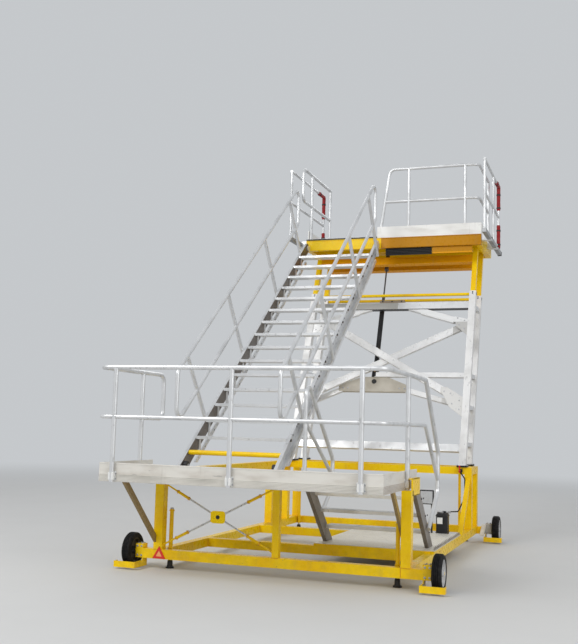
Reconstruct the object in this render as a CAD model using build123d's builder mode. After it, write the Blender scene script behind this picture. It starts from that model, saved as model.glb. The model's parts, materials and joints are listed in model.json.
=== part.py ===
from build123d import *
import math
import os

# Variable height access platform: a wheeled steel chassis with a low front landing, a leaning
# lifting mast at the rear, an upper platform on the mast and a long stair between the two.
# X runs along the landing's front, Y from the landing towards the upper platform, Z up.
# The origin is on the floor under the middle of the machine. Sizes are in millimetres, and a name
# that ends in _at is a distance behind the landing's front face.

# Chassis
chassis_width = 2800
rail_section = 100
rail_bottom = 110
front_rail_at = 790
second_rail_at = 2000
third_rail_at = 3720
rear_rail_at = 5345
centre_post_section = 72
centre_post_x = -10
upper_rail_top = 1060
mast_rail_at = 4830
brace_section = 60
rear_brace_reach = 640
left_mid_post_at = 4150
stay_x = 1128
stay_section = 35
seam = 1

# Wheels on short outrigger arms
wheel_radius = 184
wheel_width = 100
wheel_x = 1670
tyre_height = 54
tyre_shoulder = 16
rim_lip = 12
hub_boss_radius = 40
hub_bore_radius = 15
axle_clearance = 0.05
arm_reach = 120
bracket_thickness = 88
bracket_size = 146
guard_height = 64
guard_thickness = 10
guard_outer_x = 1760
guard_arm = 70
guard_gap = 35
guard_floor_gap = 20

# Screw jacks
jack_x = (-1268, 1238)
jack_offset = 52
jack_tube_radius = 22
jack_tube_top = 628
jack_screw_radius = 13
jack_foot_radius = 45
jack_foot_height = 16
jack_block = 40

# Tie rods in the front bay
tie_rod_radius = 9
tie_sleeve_radius = 15
tie_sleeve_length = 140
tie_sleeve_share = 0.55
tie_inset = 50
ring_plate = (164, 128)
ring_plate_thickness = 12
ring_hole_radius = 22

# Front landing
landing_left = -1640
landing_right = 1307
landing_depth = 1500
landing_deck_top = 1032
landing_bottom = 956
deck_thickness = 28
deck_setback = 2
beam_width = 60
joist_x = (-1640, -930, -210, 510, 1247)
toe_board_height = 112
toe_board_thickness = 20
left_toe_board_length = 1120
guardrail_height = 1100
mid_rail_height = 575
tube_radius = 24
mid_tube_radius = 21
bend_radius = 95
seat_cut = 1
saddle_gap = 0.1
landing_post_x = (-1483, -210, 1098)
left_side_post_at = 890
right_side_post_at = 920
left_rail_end_at = 1395
right_rail_end_at = 1820
strut_width = 60
strut_thickness = 30
left_strut = (-1385, (790, 325), (88, 956))
right_strut = (1285, (1235, 225), (470, 956))

# Short flight and low plate
flight_left = 68
flight_right = 1307
flight_rise = 199
flight_run = 230
flight_tread_depth = 200
flight_tread_count = 3
tread_thickness = 34
flight_nosing_overlap = 20
stringer_width = 45
flight_stringer_depth = 150
low_plate_left = 20
low_plate_right = 1410
low_plate_split = 2900
low_plate_thickness = 6
low_frame_height = 26
low_frame_width = 40
flight_rail_foot = (2060, 468)
flight_rail_turn = (2590, 838)
flight_rail_fall = (2610, 1298)
flight_mid_rail_end = (2603, 978)
left_flight_fall = (2610, 1178)

# Mast: four leaning columns, the outer ones fixed and the inner ones sliding in them
mast_lean = 20
mast_half_width = 1313
column_section = 100
column_wall = 8
column_clearance = 5
collar_length = 60
slide_clearance = 0.1
mast_foot_z = 1188
mast_foot_at = 4930
mast_depth = 580
mast_top_z = 3678
foot_height = 22
foot_plate = (140, 180)
mast_beam_height = 110
mast_beam_width = 60
top_beam_z = 3458
rear_top_beam_z = 3538
rear_top_beam_height = 90
low_beam_z = 1313
side_beam_z = 1368
thin_bar_z = 3644
thin_bar_section = 34
brace_tube = 80
brace_depth = 50
brace_gap = 2
falling_brace = ((-990, 3203), (1300, 1923))
rising_brace = ((-1300, 1980), (1300, 3205))
knee_tube = 75
knee_x = (380, 1060)
knee_z = (3407, 3207)
cross_tube_z = 2378
gusset_thickness = 10
gussets = (
    ((1010, 3285), (1213, 3240), (1213, 2990), (1045, 3130)),
    ((880, 2155), (960, 2200), (1213, 2050), (1213, 1765), (1020, 1905)),
)
yoke_x = -170
yoke_half_base = 545
yoke_half_top = 200
yoke_bottom_z = 2113
yoke_top_z = 2338
yoke_shoulder = 90
yoke_thickness = 50
yoke_tube = 75
yoke_side_z = 1903
ram_back = 150
ram_barrel_radius = 37
ram_rod_radius = 24
ram_rod_clearance = 0.05
ram_barrel_top_z = 3538
ram_rod_bottom_z = 2958
ram_rod_top_z = 4100
ram_base = 60
ram_bracket = (60, 70)

# Upper platform
platform_front_at = 5700
platform_depth = 1180
platform_deck_top = 4578
platform_beam_height = 165
platform_beam_width = 80
platform_deck_thickness = 28
lower_beam_height = 125
lower_beam_z = 4218
inner_overlap = 1100
upper_mid_rail_height = 555
upper_post_x = (265, 1145)
opening_post_x = (-200, -40)
deck_inset = 70
upper_toe_height = 150
rear_post_inset = 60
left_post_inset = 60
left_hoop_reach = 350

# Sliding side guards of the upper platform, running in sleeves on the platform's sides
guard_x = 1510
guard_front_at = 5230
guard_mid_at = 6245
guard_rear_at = 6945
guard_beam = 60
guard_beam_z = 4468
guard_beam_end = 40
guard_beam_tail = 185
guard_mid_z = 5073
guard_top_z = 5583
guard_tube_radius = 20
bumper_radius = 34
bumper_gap = (115, 130)
bumper_reach = 330
sleeve_wall = 8
sleeve_length = 120
sleeve_at = (5720, 6420)

# Main stair
stair_left = -1390
stair_right = -185
stair_rise = 200
stair_run = 254
stair_tread_count = 15
first_tread_z = 1415
first_tread_at = 1661
stair_tread_depth = 210
stair_stringer_depth = 150
stair_web = 6
stair_flange = 40
stringer_drop = 15
link_drop = 262
link_height = 46
link_width = 22
link_floor_gap = 75
hanger_width = 50
hanger_thickness = 8
hanger_back = 80
hinge_gap = 8
hinge_pin_radius = 14
hinge_pin_clearance = 0.1
hinge_pin_end = 6
hinge_lug_radius = 40
hinge_lug_thickness = 14
hinge_side_gap = 2
stair_rail_height = 1070
stair_mid_height = 455
stair_post_steps = (1.33, 5.78, 10.68, 14.7)
stair_rail_end_at = (1240, 5300)
stair_foot_at = 1262
foot_bar_radius = 28
foot_bar_steps = -0.75
foot_bar_drop = 45
foot_clearance = 10
roller_at = 1370
roller_radius = 46
roller_width = 40
roller_gap = 10
roller_side_gap = 5
roller_axle_radius = 10
roller_axle_clearance = 0.05

# Hand pump
pump_x = 1178
pump_size = (185, 165, 285)
pump_tray = 10
pump_tray_edge = 20
pump_neck_radius = 22
pump_neck_height = 26
hose_radius = 8
hose_bend = 66
hose_run = ((1228, 4770, 452), (1306, 4821, 640), (1308, 4821, 900))
valve_x = 1250
valve_z = 985
valve_size = (50, 40, 50)

# Worked-out places
post_stand = tube_radius - seat_cut
front = -(guard_rear_at + guard_beam_tail - (post_stand + tube_radius)) / 2
chassis_half = chassis_width / 2
rail_top = rail_bottom + rail_section
rear_end_at = rear_rail_at + rail_section
upper_rail_bottom = upper_rail_top - rail_section
lean = math.radians(mast_lean)
lean_up = Vector(0, math.sin(lean), math.cos(lean))
square_to_mast = (0, math.cos(lean), -math.sin(lean))
deck_bottom = landing_deck_top - deck_thickness
rail_z = landing_deck_top + guardrail_height - tube_radius
mid_rail_z = landing_deck_top + mid_rail_height
platform_underside = platform_deck_top - platform_deck_thickness - platform_beam_height


def depth_at(offset):
    """Y of a place given by its distance behind the landing's front face."""
    return front + offset


def mast_y(z, back=0):
    """Y of the mast's front column line at height z, or of a line further back."""
    return depth_at(mast_foot_at) + (z - mast_foot_z) * math.tan(lean) + back


def along_mast(z):
    """Distance up the leaning plane for a height z."""
    return z / math.cos(lean)


def block(x, y, z, mode=Mode.ADD):
    """A box between two limits on each axis."""
    with Locations(((x[0] + x[1]) / 2, (y[0] + y[1]) / 2, (z[0] + z[1]) / 2)):
        Box(abs(x[1] - x[0]), abs(y[1] - y[0]), abs(z[1] - z[0]), mode=mode)


def bar(start, end, width, height, across=(1, 0, 0), mode=Mode.ADD):
    """A straight rectangular bar along the line from start to end."""
    line = Vector(*end) - Vector(*start)
    with BuildSketch(Plane(origin=start, x_dir=across, z_dir=line)) as section:
        Rectangle(width, height)
    extrude(section.sketch, amount=line.length, mode=mode)


def rod(start, end, radius, mode=Mode.ADD):
    """A straight round bar from start to end."""
    line = Vector(*end) - Vector(*start)
    with BuildSketch(Plane(origin=start, z_dir=line)) as section:
        Circle(radius)
    extrude(section.sketch, amount=line.length, mode=mode)


def centre_line(points, bends=bend_radius):
    """The straight stretches and the bends of a bent tube's centre line."""
    with BuildLine() as line:
        FilletPolyline(*points, radius=bends)
    return line.edges().filter_by(GeomType.LINE), line.edges().filter_by(GeomType.CIRCLE)


def tubes(edges, radius, mode=Mode.ADD):
    """Round tubes along centre-line edges."""
    for edge in edges:
        with BuildSketch(Plane(origin=edge @ 0, z_dir=edge % 0)) as section:
            Circle(radius)
        sweep(section.sketch, path=edge, mode=mode)


def finish(builder, label):
    """Names a sub-part and writes its STEP file."""
    builder.part.label = label
    export_step(builder.part, f"parts/{label}.step")


os.makedirs("parts", exist_ok=True)

# Chassis side rails, lower and upper: the upper ones long on the stair's side, short under the mast
side_x = (chassis_half - rail_section, chassis_half)
lower_z = (rail_bottom, rail_top)
upper_z = (upper_rail_bottom, upper_rail_top)
with BuildPart() as side_rails:
    for side, start, z in (
        (-1, front_rail_at, lower_z),
        (1, front_rail_at, lower_z),
        (-1, landing_depth, upper_z),
        (1, mast_rail_at, upper_z),
    ):
        block([side * x for x in side_x], (depth_at(start), depth_at(rear_end_at)), z)
finish(side_rails, "side_rails")

inner_x = (-chassis_half + rail_section, chassis_half - rail_section)
with BuildPart() as cross_rails:
    for at, z in (
        (front_rail_at, lower_z),
        (second_rail_at, lower_z),
        (third_rail_at, lower_z),
        (rear_rail_at, lower_z),
        (mast_rail_at, upper_z),
        (rear_rail_at, upper_z),
    ):
        block(inner_x, (depth_at(at), depth_at(at + rail_section)), z)
finish(cross_rails, "cross_rails")

# Posts of the chassis: x of the left face, distance behind the front, section, top
left_x = -chassis_half
right_x = chassis_half - rail_section
centre_x = centre_post_x - centre_post_section / 2
with BuildPart() as chassis_posts:
    for x, at, section, top in (
        (left_x, front_rail_at, rail_section, landing_bottom),
        (right_x, front_rail_at, rail_section, landing_bottom),
        (centre_x, front_rail_at, centre_post_section, landing_bottom),
        (left_x, left_mid_post_at, rail_section, upper_rail_bottom),
        (left_x, mast_rail_at, rail_section, upper_rail_bottom),
        (right_x, mast_rail_at, rail_section, upper_rail_bottom),
        (left_x, rear_rail_at, rail_section, upper_rail_bottom),
        (right_x, rear_rail_at, rail_section, upper_rail_bottom),
        (stay_x, rear_rail_at + stay_section, stay_section, upper_rail_bottom),
    ):
        block((x, x + section), (depth_at(at), depth_at(at + section)), (rail_top, top))
finish(chassis_posts, "chassis_posts")

# Leaning braces: up to the right post under the mast, and up to the landing's front beams
post_face = depth_at(mast_rail_at)
brace_foot = (post_face - rear_brace_reach, rail_top)
brace_head = (post_face, upper_rail_bottom - rail_section)
brace_x = chassis_half - rail_section / 2
front_post_face = depth_at(front_rail_at)
wide = (2 * landing_left, -2 * landing_left)
with BuildPart() as leaning_braces:
    for x, foot, head, width, depth in (
        (brace_x, brace_foot, brace_head, brace_section, brace_section),
        (left_strut[0], (depth_at(left_strut[1][0]), left_strut[1][1]),
         (depth_at(left_strut[2][0]), left_strut[2][1]), strut_thickness, strut_width),
        (right_strut[0], (depth_at(right_strut[1][0]), right_strut[1][1]),
         (depth_at(right_strut[2][0]), right_strut[2][1]), strut_thickness, strut_width),
    ):
        low = Vector(x, *foot)
        high = Vector(x, *head)
        reach = (high - low).normalized() * brace_section * 2
        bar(tuple(low - reach), tuple(high + reach), width, depth)
    block(wide, (post_face - 1000, post_face + 300), (-rail_section, rail_top), Mode.SUBTRACT)
    block(wide, (post_face, post_face + 300), (rail_top, upper_rail_top + 200), Mode.SUBTRACT)
    block((wide[0], 0), (front_post_face, front_post_face + 300), (-rail_section, landing_bottom),
          Mode.SUBTRACT)
    block((0, wide[1]), (front_post_face, front_post_face + 1000), (-rail_section, rail_bottom), Mode.SUBTRACT)
    block(wide, (depth_at(-300), front_post_face + 300), (landing_bottom, landing_bottom + 300), Mode.SUBTRACT)
finish(leaning_braces, "leaning_braces")

# Wheel outriggers: an arm, a bracket block and a fixed axle each
wheel_at = (front_rail_at + rail_section / 2, rear_rail_at + rail_section / 2)
bracket_x = (chassis_half + arm_reach, chassis_half + arm_reach + bracket_thickness)
bracket_z = (wheel_radius - bracket_size / 2, wheel_radius + bracket_size / 2)
with BuildPart() as outriggers:
    for side in (-1, 1):
        for at in wheel_at:
            y = depth_at(at)
            block((side * chassis_half, side * bracket_x[0]),
                  (y - rail_section / 2, y + rail_section / 2), lower_z)
            block([side * x for x in bracket_x], (y - rail_section / 2, y + rail_section / 2), bracket_z)
            rod((side * bracket_x[1], y, wheel_radius),
                (side * (wheel_x + wheel_width / 2 + rim_lip / 2), y, wheel_radius),
                hub_bore_radius - axle_clearance)
finish(outriggers, "outriggers")

# Toe guards: low plates in front of the wheels, hung on the bracket blocks
guard_z = (guard_floor_gap, guard_floor_gap + guard_height)
with BuildPart() as toe_guards:
    for side in (-1, 1):
        for at in wheel_at:
            y = depth_at(at)
            far = y - wheel_radius - guard_gap - guard_thickness
            near = far + guard_thickness
            hanger = (bracket_x[0], bracket_x[0] + guard_thickness)
            block((side * bracket_x[0], side * guard_outer_x), (far, near), guard_z)
            block((side * guard_outer_x, side * (guard_outer_x + guard_thickness)),
                  (far, far + guard_arm), guard_z)
            block([side * x for x in hanger], (near, y + rail_section / 2), guard_z)
            block([side * x for x in hanger], (y - rail_section / 2, y + rail_section / 2),
                  (guard_z[1], bracket_z[0]))
finish(toe_guards, "toe_guards")

# Screw jacks beside the corner posts, their feet on the floor
with BuildPart() as screw_jacks:
    for side in (-1, 1):
        for at, toward in ((front_rail_at + rail_section + jack_offset, -1), (rear_rail_at - jack_offset, 1)):
            x = jack_x[0] if side < 0 else jack_x[1]
            y = depth_at(at)
            block((x - jack_block / 2, x + jack_block / 2), (y, y + toward * jack_offset), lower_z)
            rod((x, y, rail_bottom), (x, y, jack_tube_top), jack_tube_radius)
            rod((x, y, jack_foot_height), (x, y, rail_bottom), jack_screw_radius)
            rod((x, y, 0), (x, y, jack_foot_height), jack_foot_radius)
finish(screw_jacks, "screw_jacks")

# Tie rods crossing in the front bay, with tightening sleeves and a plate at the crossing
bay_x = (left_x + rail_section, centre_x)
bay_z = (rail_top + tie_inset, landing_bottom - tie_inset)
ring = Vector(sum(bay_x) / 2, depth_at(front_rail_at + centre_post_section / 2), sum(bay_z) / 2)
half_plate = ring_plate_thickness / 2
with BuildPart() as tie_rods:
    for x in bay_x:
        for z in bay_z:
            corner = Vector(x, ring.Y, z)
            outward = (corner - ring).normalized()
            sleeve = ring + (corner - ring) * tie_sleeve_share
            rod(tuple(ring), tuple(corner + outward * 40), tie_rod_radius)
            rod(tuple(sleeve), tuple(sleeve + outward * tie_sleeve_length), tie_sleeve_radius)
    add(chassis_posts.part, mode=Mode.SUBTRACT)
    with BuildSketch(Plane(origin=ring, x_dir=(1, 0, 0), z_dir=(0, -1, 0))) as grown_plate:
        RectangleRounded(ring_plate[0] + 2 * saddle_gap, ring_plate[1] + 2 * saddle_gap, ring_plate[1] / 4)
    extrude(grown_plate.sketch, amount=2 * ring_plate_thickness, both=True, mode=Mode.SUBTRACT)
    with BuildSketch(Plane(origin=ring, x_dir=(1, 0, 0), z_dir=(0, -1, 0))) as plate_outline:
        RectangleRounded(*ring_plate, ring_plate[1] / 4)
        Circle(ring_hole_radius, mode=Mode.SUBTRACT)
    extrude(plate_outline.sketch, amount=half_plate, both=True)
finish(tie_rods, "tie_rods")

# Low step plate's edge frame, over the second and third cross rails
plate_y = (depth_at(second_rail_at), depth_at(third_rail_at + rail_section))
edge_z = (rail_top, rail_top + low_frame_height)
plate_top = edge_z[1] + low_plate_thickness
with BuildPart() as low_plate_frame:
    for x in (low_plate_left, low_plate_right - low_frame_width):
        block((x, x + low_frame_width), plate_y, edge_z)
    for y in (plate_y[0], plate_y[1] - low_frame_width):
        block((low_plate_left + low_frame_width + seam, low_plate_right - low_frame_width - seam),
              (y, y + low_frame_width), edge_z)
finish(low_plate_frame, "low_plate_frame")

# Front landing: frame of beams and joists
landing_y = (depth_at(0), depth_at(landing_depth))
landing_x = (landing_left, landing_right)
with BuildPart() as landing_frame:
    for y in (landing_y[0], landing_y[1] - beam_width):
        block(landing_x, (y, y + beam_width), (landing_bottom, deck_bottom))
    for x in joist_x:
        block((x, x + beam_width), (landing_y[0] + beam_width + seam, landing_y[1] - beam_width - seam),
              (landing_bottom, deck_bottom))
finish(landing_frame, "landing_frame")

# Deck plates of the landing and of the low step
with BuildPart() as deck_plates:
    block((landing_left + toe_board_thickness, landing_right - toe_board_thickness),
          (landing_y[0] + toe_board_thickness, landing_y[1] - deck_setback), (deck_bottom, landing_deck_top))
    for y in ((plate_y[0], depth_at(low_plate_split)), (depth_at(low_plate_split) + seam, plate_y[1])):
        block((low_plate_left, low_plate_right), y, (edge_z[1], plate_top))
finish(deck_plates, "deck_plates")

toe_z = (deck_bottom, landing_deck_top + toe_board_height)
with BuildPart() as landing_toe_boards:
    block(landing_x, (landing_y[0], landing_y[0] + toe_board_thickness), toe_z)
    for x, inward, length in ((landing_left, 1, left_toe_board_length), (landing_right, -1, landing_depth)):
        block((x, x + inward * toe_board_thickness),
              (landing_y[0] + toe_board_thickness + seam, depth_at(length)), toe_z)
finish(landing_toe_boards, "landing_toe_boards")

# Short flight from the landing down to the low plate
flight_normal = Vector(0, flight_rise, flight_run).normalized()


def flight_nosing(drop):
    """The nosing line's point at a drop below the landing's deck."""
    return Vector(0, landing_y[1] + drop * flight_run / flight_rise, landing_deck_top - drop)


flight_centre = flight_normal * (flight_stringer_depth / 2 - flight_nosing_overlap)
with BuildPart() as flight_stringers:
    for x in (flight_left + stringer_width / 2, flight_right - stringer_width / 2):
        high = flight_nosing(-flight_stringer_depth) - flight_centre
        low = flight_nosing(landing_deck_top) - flight_centre
        bar((x, high.Y, high.Z), (x, low.Y, low.Z), stringer_width, flight_stringer_depth)
    block(wide, (landing_y[1] - 600, landing_y[1]), (0, 2000), Mode.SUBTRACT)
    block(wide, (landing_y[1] - 600, landing_y[1] + 2000), (-400, plate_top), Mode.SUBTRACT)
finish(flight_stringers, "flight_stringers")

with BuildPart() as flight_treads:
    for step in range(1, flight_tread_count + 1):
        nose = flight_nosing(step * flight_rise) - Vector(0, flight_nosing_overlap, 0)
        block((flight_left + stringer_width, flight_right - stringer_width),
              (nose.Y, nose.Y + flight_tread_depth), (nose.Z - tread_thickness, nose.Z))
finish(flight_treads, "flight_treads")

# Guardrails of the landing and handrails of the flight: bent tubes, straight stretches here
front_line = depth_at(-post_stand)
left_line = landing_left - post_stand
right_line = landing_right + post_stand
flight_line = flight_left - post_stand
rear_line = landing_y[1] + post_stand
top_path = (
    (left_line, depth_at(left_side_post_at), mid_rail_z),
    (left_line, depth_at(left_rail_end_at), mid_rail_z),
    (left_line, depth_at(left_rail_end_at), rail_z),
    (left_line, front_line, rail_z),
    (right_line, front_line, rail_z),
    (right_line, depth_at(right_rail_end_at), rail_z),
    (right_line, depth_at(flight_rail_fall[0]), flight_rail_fall[1]),
    (right_line, depth_at(flight_rail_turn[0]), flight_rail_turn[1]),
    (right_line, depth_at(flight_rail_foot[0]), flight_rail_foot[1]),
)
mid_path = (
    (left_line, depth_at(left_side_post_at), mid_rail_z),
    (left_line, front_line, mid_rail_z),
    (right_line, front_line, mid_rail_z),
    (right_line, depth_at(right_rail_end_at), mid_rail_z),
    (right_line, depth_at(flight_mid_rail_end[0]), flight_mid_rail_end[1]),
)
flight_path = (
    (flight_line, rear_line, landing_bottom),
    (flight_line, rear_line, rail_z),
    (flight_line, depth_at(left_flight_fall[0]), left_flight_fall[1]),
    (flight_line, depth_at(flight_rail_turn[0]), flight_rail_turn[1]),
    (flight_line, depth_at(flight_rail_foot[0]), flight_rail_foot[1]),
)
flight_mid = ((flight_line, rear_line, mid_rail_z),
              (flight_line, depth_at(flight_mid_rail_end[0]), flight_mid_rail_end[1]))
landing_post_spots = [(x, front_line) for x in landing_post_x]
landing_post_spots += [(left_line, depth_at(left_side_post_at)), (right_line, depth_at(right_side_post_at))]
top_straight, top_bends = centre_line(top_path)
mid_straight, mid_bends = centre_line(mid_path)
flight_straight, flight_bends = centre_line(flight_path)

with BuildPart() as landing_posts:
    for x, y in landing_post_spots:
        rod((x, y, landing_bottom), (x, y, rail_z), tube_radius)
    tubes(top_straight, tube_radius + saddle_gap, Mode.SUBTRACT)
    add(landing_toe_boards.part, mode=Mode.SUBTRACT)
    add(landing_frame.part, mode=Mode.SUBTRACT)
finish(landing_posts, "landing_posts")

with BuildPart() as mid_rail_tubes:
    tubes(mid_straight, mid_tube_radius)
    rod(*flight_mid, mid_tube_radius)
    for x, y in landing_post_spots:
        rod((x, y, landing_bottom), (x, y, rail_z), tube_radius, Mode.SUBTRACT)
    tubes(top_straight + flight_straight, tube_radius, Mode.SUBTRACT)

with BuildPart() as landing_rails:
    tubes(top_straight + flight_straight, tube_radius)
    x, y = landing_post_spots[3]
    rod((x, y, landing_bottom), (x, y, rail_z - 2 * tube_radius), tube_radius, Mode.SUBTRACT)
    for neighbour in (flight_stringers, landing_frame, deck_plates):
        add(neighbour.part, mode=Mode.SUBTRACT)
finish(landing_rails, "landing_rails")

finish(mid_rail_tubes, "landing_mid_rails")

with BuildPart() as rail_bends:
    tubes(top_bends + flight_bends, tube_radius)
    tubes(mid_bends, mid_tube_radius)
finish(rail_bends, "rail_bends")

# Outer mast columns: leaning hollow square tubes on black feet, with a close collar at the top
column_x = mast_half_width - column_section / 2
inner_section = column_section - 2 * column_wall - 2 * column_clearance
columns = [(side * column_x, back) for side in (-1, 1) for back in (0, mast_depth)]
foot_top = upper_rail_top + foot_height
with BuildPart() as mast_columns:
    for x, back in columns:
        start = (x, mast_y(foot_top - 60, back), foot_top - 60)
        end = (x, mast_y(mast_top_z, back), mast_top_z)
        bar(start, end, column_section, column_section)
        collar = Vector(*end) - lean_up * collar_length
        bar(start, tuple(collar), column_section - 2 * column_wall, column_section - 2 * column_wall,
            mode=Mode.SUBTRACT)
        bar(start, end, inner_section + 2 * slide_clearance, inner_section + 2 * slide_clearance,
            mode=Mode.SUBTRACT)
    block(wide, (front, -front), (0, foot_top), Mode.SUBTRACT)
finish(mast_columns, "mast_columns")

with BuildPart() as mast_feet:
    for x, back in columns:
        y = mast_y(foot_top, back)
        block((x - foot_plate[0] / 2, x + foot_plate[0] / 2), (y - foot_plate[1] / 2, y + foot_plate[1] / 2),
              (upper_rail_top, foot_top))
finish(mast_feet, "mast_feet")

# Beams between the outer columns: across at the front and rear, and front to rear at the sides
beam_x = (-column_x + column_section / 2, column_x - column_section / 2)
with BuildPart() as mast_beams:
    for z, back, width, height in (
        (top_beam_z, 0, mast_beam_width, mast_beam_height),
        (low_beam_z, 0, mast_beam_width, mast_beam_height),
        (rear_top_beam_z, mast_depth, mast_beam_width, rear_top_beam_height),
    ):
        y = mast_y(z, back)
        bar((beam_x[0], y, z), (beam_x[1], y, z), width, height, across=square_to_mast)
    for x in (-column_x, column_x):
        for z in (side_beam_z, yoke_side_z, cross_tube_z, top_beam_z):
            bar((x, mast_y(z), z), (x, mast_y(z, mast_depth), z), mast_beam_width, mast_beam_width)
    for x, back in columns:
        bar((x, mast_y(foot_top, back), foot_top), (x, mast_y(mast_top_z + 100, back), mast_top_z + 100),
            column_section, column_section, mode=Mode.SUBTRACT)
finish(mast_beams, "mast_beams")

with BuildPart() as mast_tie_bars:
    for back in (0, mast_depth):
        y = mast_y(thin_bar_z, back)
        bar((beam_x[0], y, thin_bar_z), (beam_x[1], y, thin_bar_z), thin_bar_section, thin_bar_section,
            across=square_to_mast)
finish(mast_tie_bars, "mast_tie_bars")

# Yoke that carries the ram's foot
yoke_plane = Plane(origin=(yoke_x, mast_y(0, ram_back), 0), x_dir=(1, 0, 0),
                   z_dir=(0, -math.cos(lean), math.sin(lean)))
with BuildPart() as ram_yoke:
    with BuildSketch(yoke_plane):
        with BuildLine():
            Polyline(
                (-yoke_half_base, along_mast(yoke_bottom_z)),
                (yoke_half_base, along_mast(yoke_bottom_z)),
                (yoke_half_base, along_mast(yoke_bottom_z + yoke_shoulder)),
                (yoke_half_top, along_mast(yoke_top_z)),
                (-yoke_half_top, along_mast(yoke_top_z)),
                (-yoke_half_base, along_mast(yoke_bottom_z + yoke_shoulder)),
                close=True,
            )
        make_face()
    extrude(amount=yoke_thickness / 2, both=True)
finish(ram_yoke, "ram_yoke")

def ram_point(z):
    """The ram's axis at height z."""
    return (yoke_x, mast_y(z, ram_back), z)


# Braces: two crossing in the mast's front, a knee under each end of the top beam, the tubes from
# the yoke's ends to the side beams, a level tube from the ram to the right column, and gussets
yoke_tube_z = yoke_bottom_z + yoke_tube / 2
tube_back = ram_back - yoke_thickness / 2
tube_y = mast_y(cross_tube_z, tube_back)
gusset_back = along_mast(brace_depth / 2 + saddle_gap + gusset_thickness / 2)
with BuildPart() as mast_braces:
    for ends, back in ((falling_brace, 0), (rising_brace, along_mast(brace_depth + brace_gap))):
        low, high = [(x, mast_y(z, back), z) for x, z in ends]
        bar(low, high, brace_depth, brace_tube, across=square_to_mast)
    for side in (-1, 1):
        block((side * beam_x[1], side * chassis_half), (front, -front), (mast_foot_z, mast_top_z),
              Mode.SUBTRACT)
        bar((side * (knee_x[0] - 80), mast_y(knee_z[0] + 24), knee_z[0] + 24),
            (side * knee_x[1], mast_y(knee_z[1]), knee_z[1]), brace_depth, knee_tube, across=square_to_mast)
        bar((yoke_x + side * (yoke_half_base - 60), mast_y(yoke_tube_z, ram_back), yoke_tube_z),
            (side * (column_x - mast_beam_width / 2), mast_y(yoke_side_z, ram_back), yoke_side_z),
            brace_depth, yoke_tube, across=square_to_mast)
    bar((yoke_x, tube_y, cross_tube_z), (column_x - mast_beam_width / 2, tube_y, cross_tube_z),
        brace_depth, yoke_tube, across=square_to_mast)
    rod(ram_point(yoke_bottom_z), ram_point(mast_top_z), ram_barrel_radius + saddle_gap, Mode.SUBTRACT)
    add(ram_yoke.part, mode=Mode.SUBTRACT)
    add(mast_beams.part, mode=Mode.SUBTRACT)
    for side in (-1, 1):
        for outline in gussets:
            plane = Plane(origin=(0, mast_y(0, -gusset_back), 0), x_dir=(1, 0, 0),
                          z_dir=(0, -math.cos(lean), math.sin(lean)))
            with BuildSketch(plane) as plate:
                with BuildLine():
                    Polyline(*[(side * x, along_mast(z)) for x, z in outline], close=True)
                make_face()
            extrude(plate.sketch, amount=gusset_thickness / 2, both=True)
finish(mast_braces, "mast_braces")


# Lifting ram: barrel on the yoke, rod under the platform
with BuildPart() as ram_barrel:
    rod(ram_point(yoke_top_z), ram_point(ram_barrel_top_z), ram_barrel_radius)
    rod(ram_point(yoke_top_z + ram_base), ram_point(ram_barrel_top_z + ram_base),
        ram_rod_radius + ram_rod_clearance, Mode.SUBTRACT)
finish(ram_barrel, "ram_barrel")

ram_head_y = mast_y(platform_underside, ram_back)
with BuildPart() as ram_rod:
    rod(ram_point(ram_rod_bottom_z), ram_point(ram_rod_top_z), ram_rod_radius)
    bar(ram_point(ram_rod_top_z), ram_point(platform_underside + 60), *ram_bracket)
    block(wide, (front, -front), (platform_underside, platform_deck_top), Mode.SUBTRACT)
finish(ram_rod, "ram_rod")

# Inner mast: sliding columns with a beam across each pair
inner_bottom_z = mast_top_z - inner_overlap
with BuildPart() as inner_columns:
    for x, back in columns:
        bar((x, mast_y(inner_bottom_z, back), inner_bottom_z),
            (x, mast_y(platform_underside + 60, back), platform_underside + 60), inner_section, inner_section)
    block(wide, (front, -front), (platform_underside, platform_underside + 500), Mode.SUBTRACT)
finish(inner_columns, "inner_columns")

with BuildPart() as inner_beams:
    for back in (0, mast_depth):
        y = mast_y(lower_beam_z, back)
        bar((-column_x + inner_section / 2, y, lower_beam_z), (column_x - inner_section / 2, y, lower_beam_z),
            inner_section, lower_beam_height, across=square_to_mast)
finish(inner_beams, "inner_beams")

# Upper platform: frame of beams over the inner columns and the ram, deck with an edge strip at
# the stair's head, and toe boards standing on the beams
platform_half = chassis_half
platform_y = (depth_at(platform_front_at), depth_at(platform_front_at + platform_depth))
frame_z = (platform_underside, platform_underside + platform_beam_height)
beam_half = platform_beam_width / 2
cross_beam_y = (platform_y[0] + beam_half, mast_y(platform_underside), ram_head_y,
                mast_y(platform_underside, mast_depth), platform_y[1] - beam_half)
with BuildPart() as platform_frame:
    for y in cross_beam_y:
        block((-platform_half + platform_beam_width + seam, platform_half - platform_beam_width - seam),
              (y - beam_half, y + beam_half), frame_z)
    for x in (-platform_half, platform_half - platform_beam_width):
        block((x, x + platform_beam_width), platform_y, frame_z)
finish(platform_frame, "platform_frame")

deck_z = (frame_z[1], platform_deck_top)
edge_y = platform_y[0] + deck_inset
with BuildPart() as platform_deck:
    block((-platform_half + deck_inset, platform_half - deck_inset), (edge_y, platform_y[1]), deck_z)
    block((-platform_half, opening_post_x[0] - tube_radius - seam), (platform_y[0], edge_y - seam), deck_z)
finish(platform_deck, "platform_deck")

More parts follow.
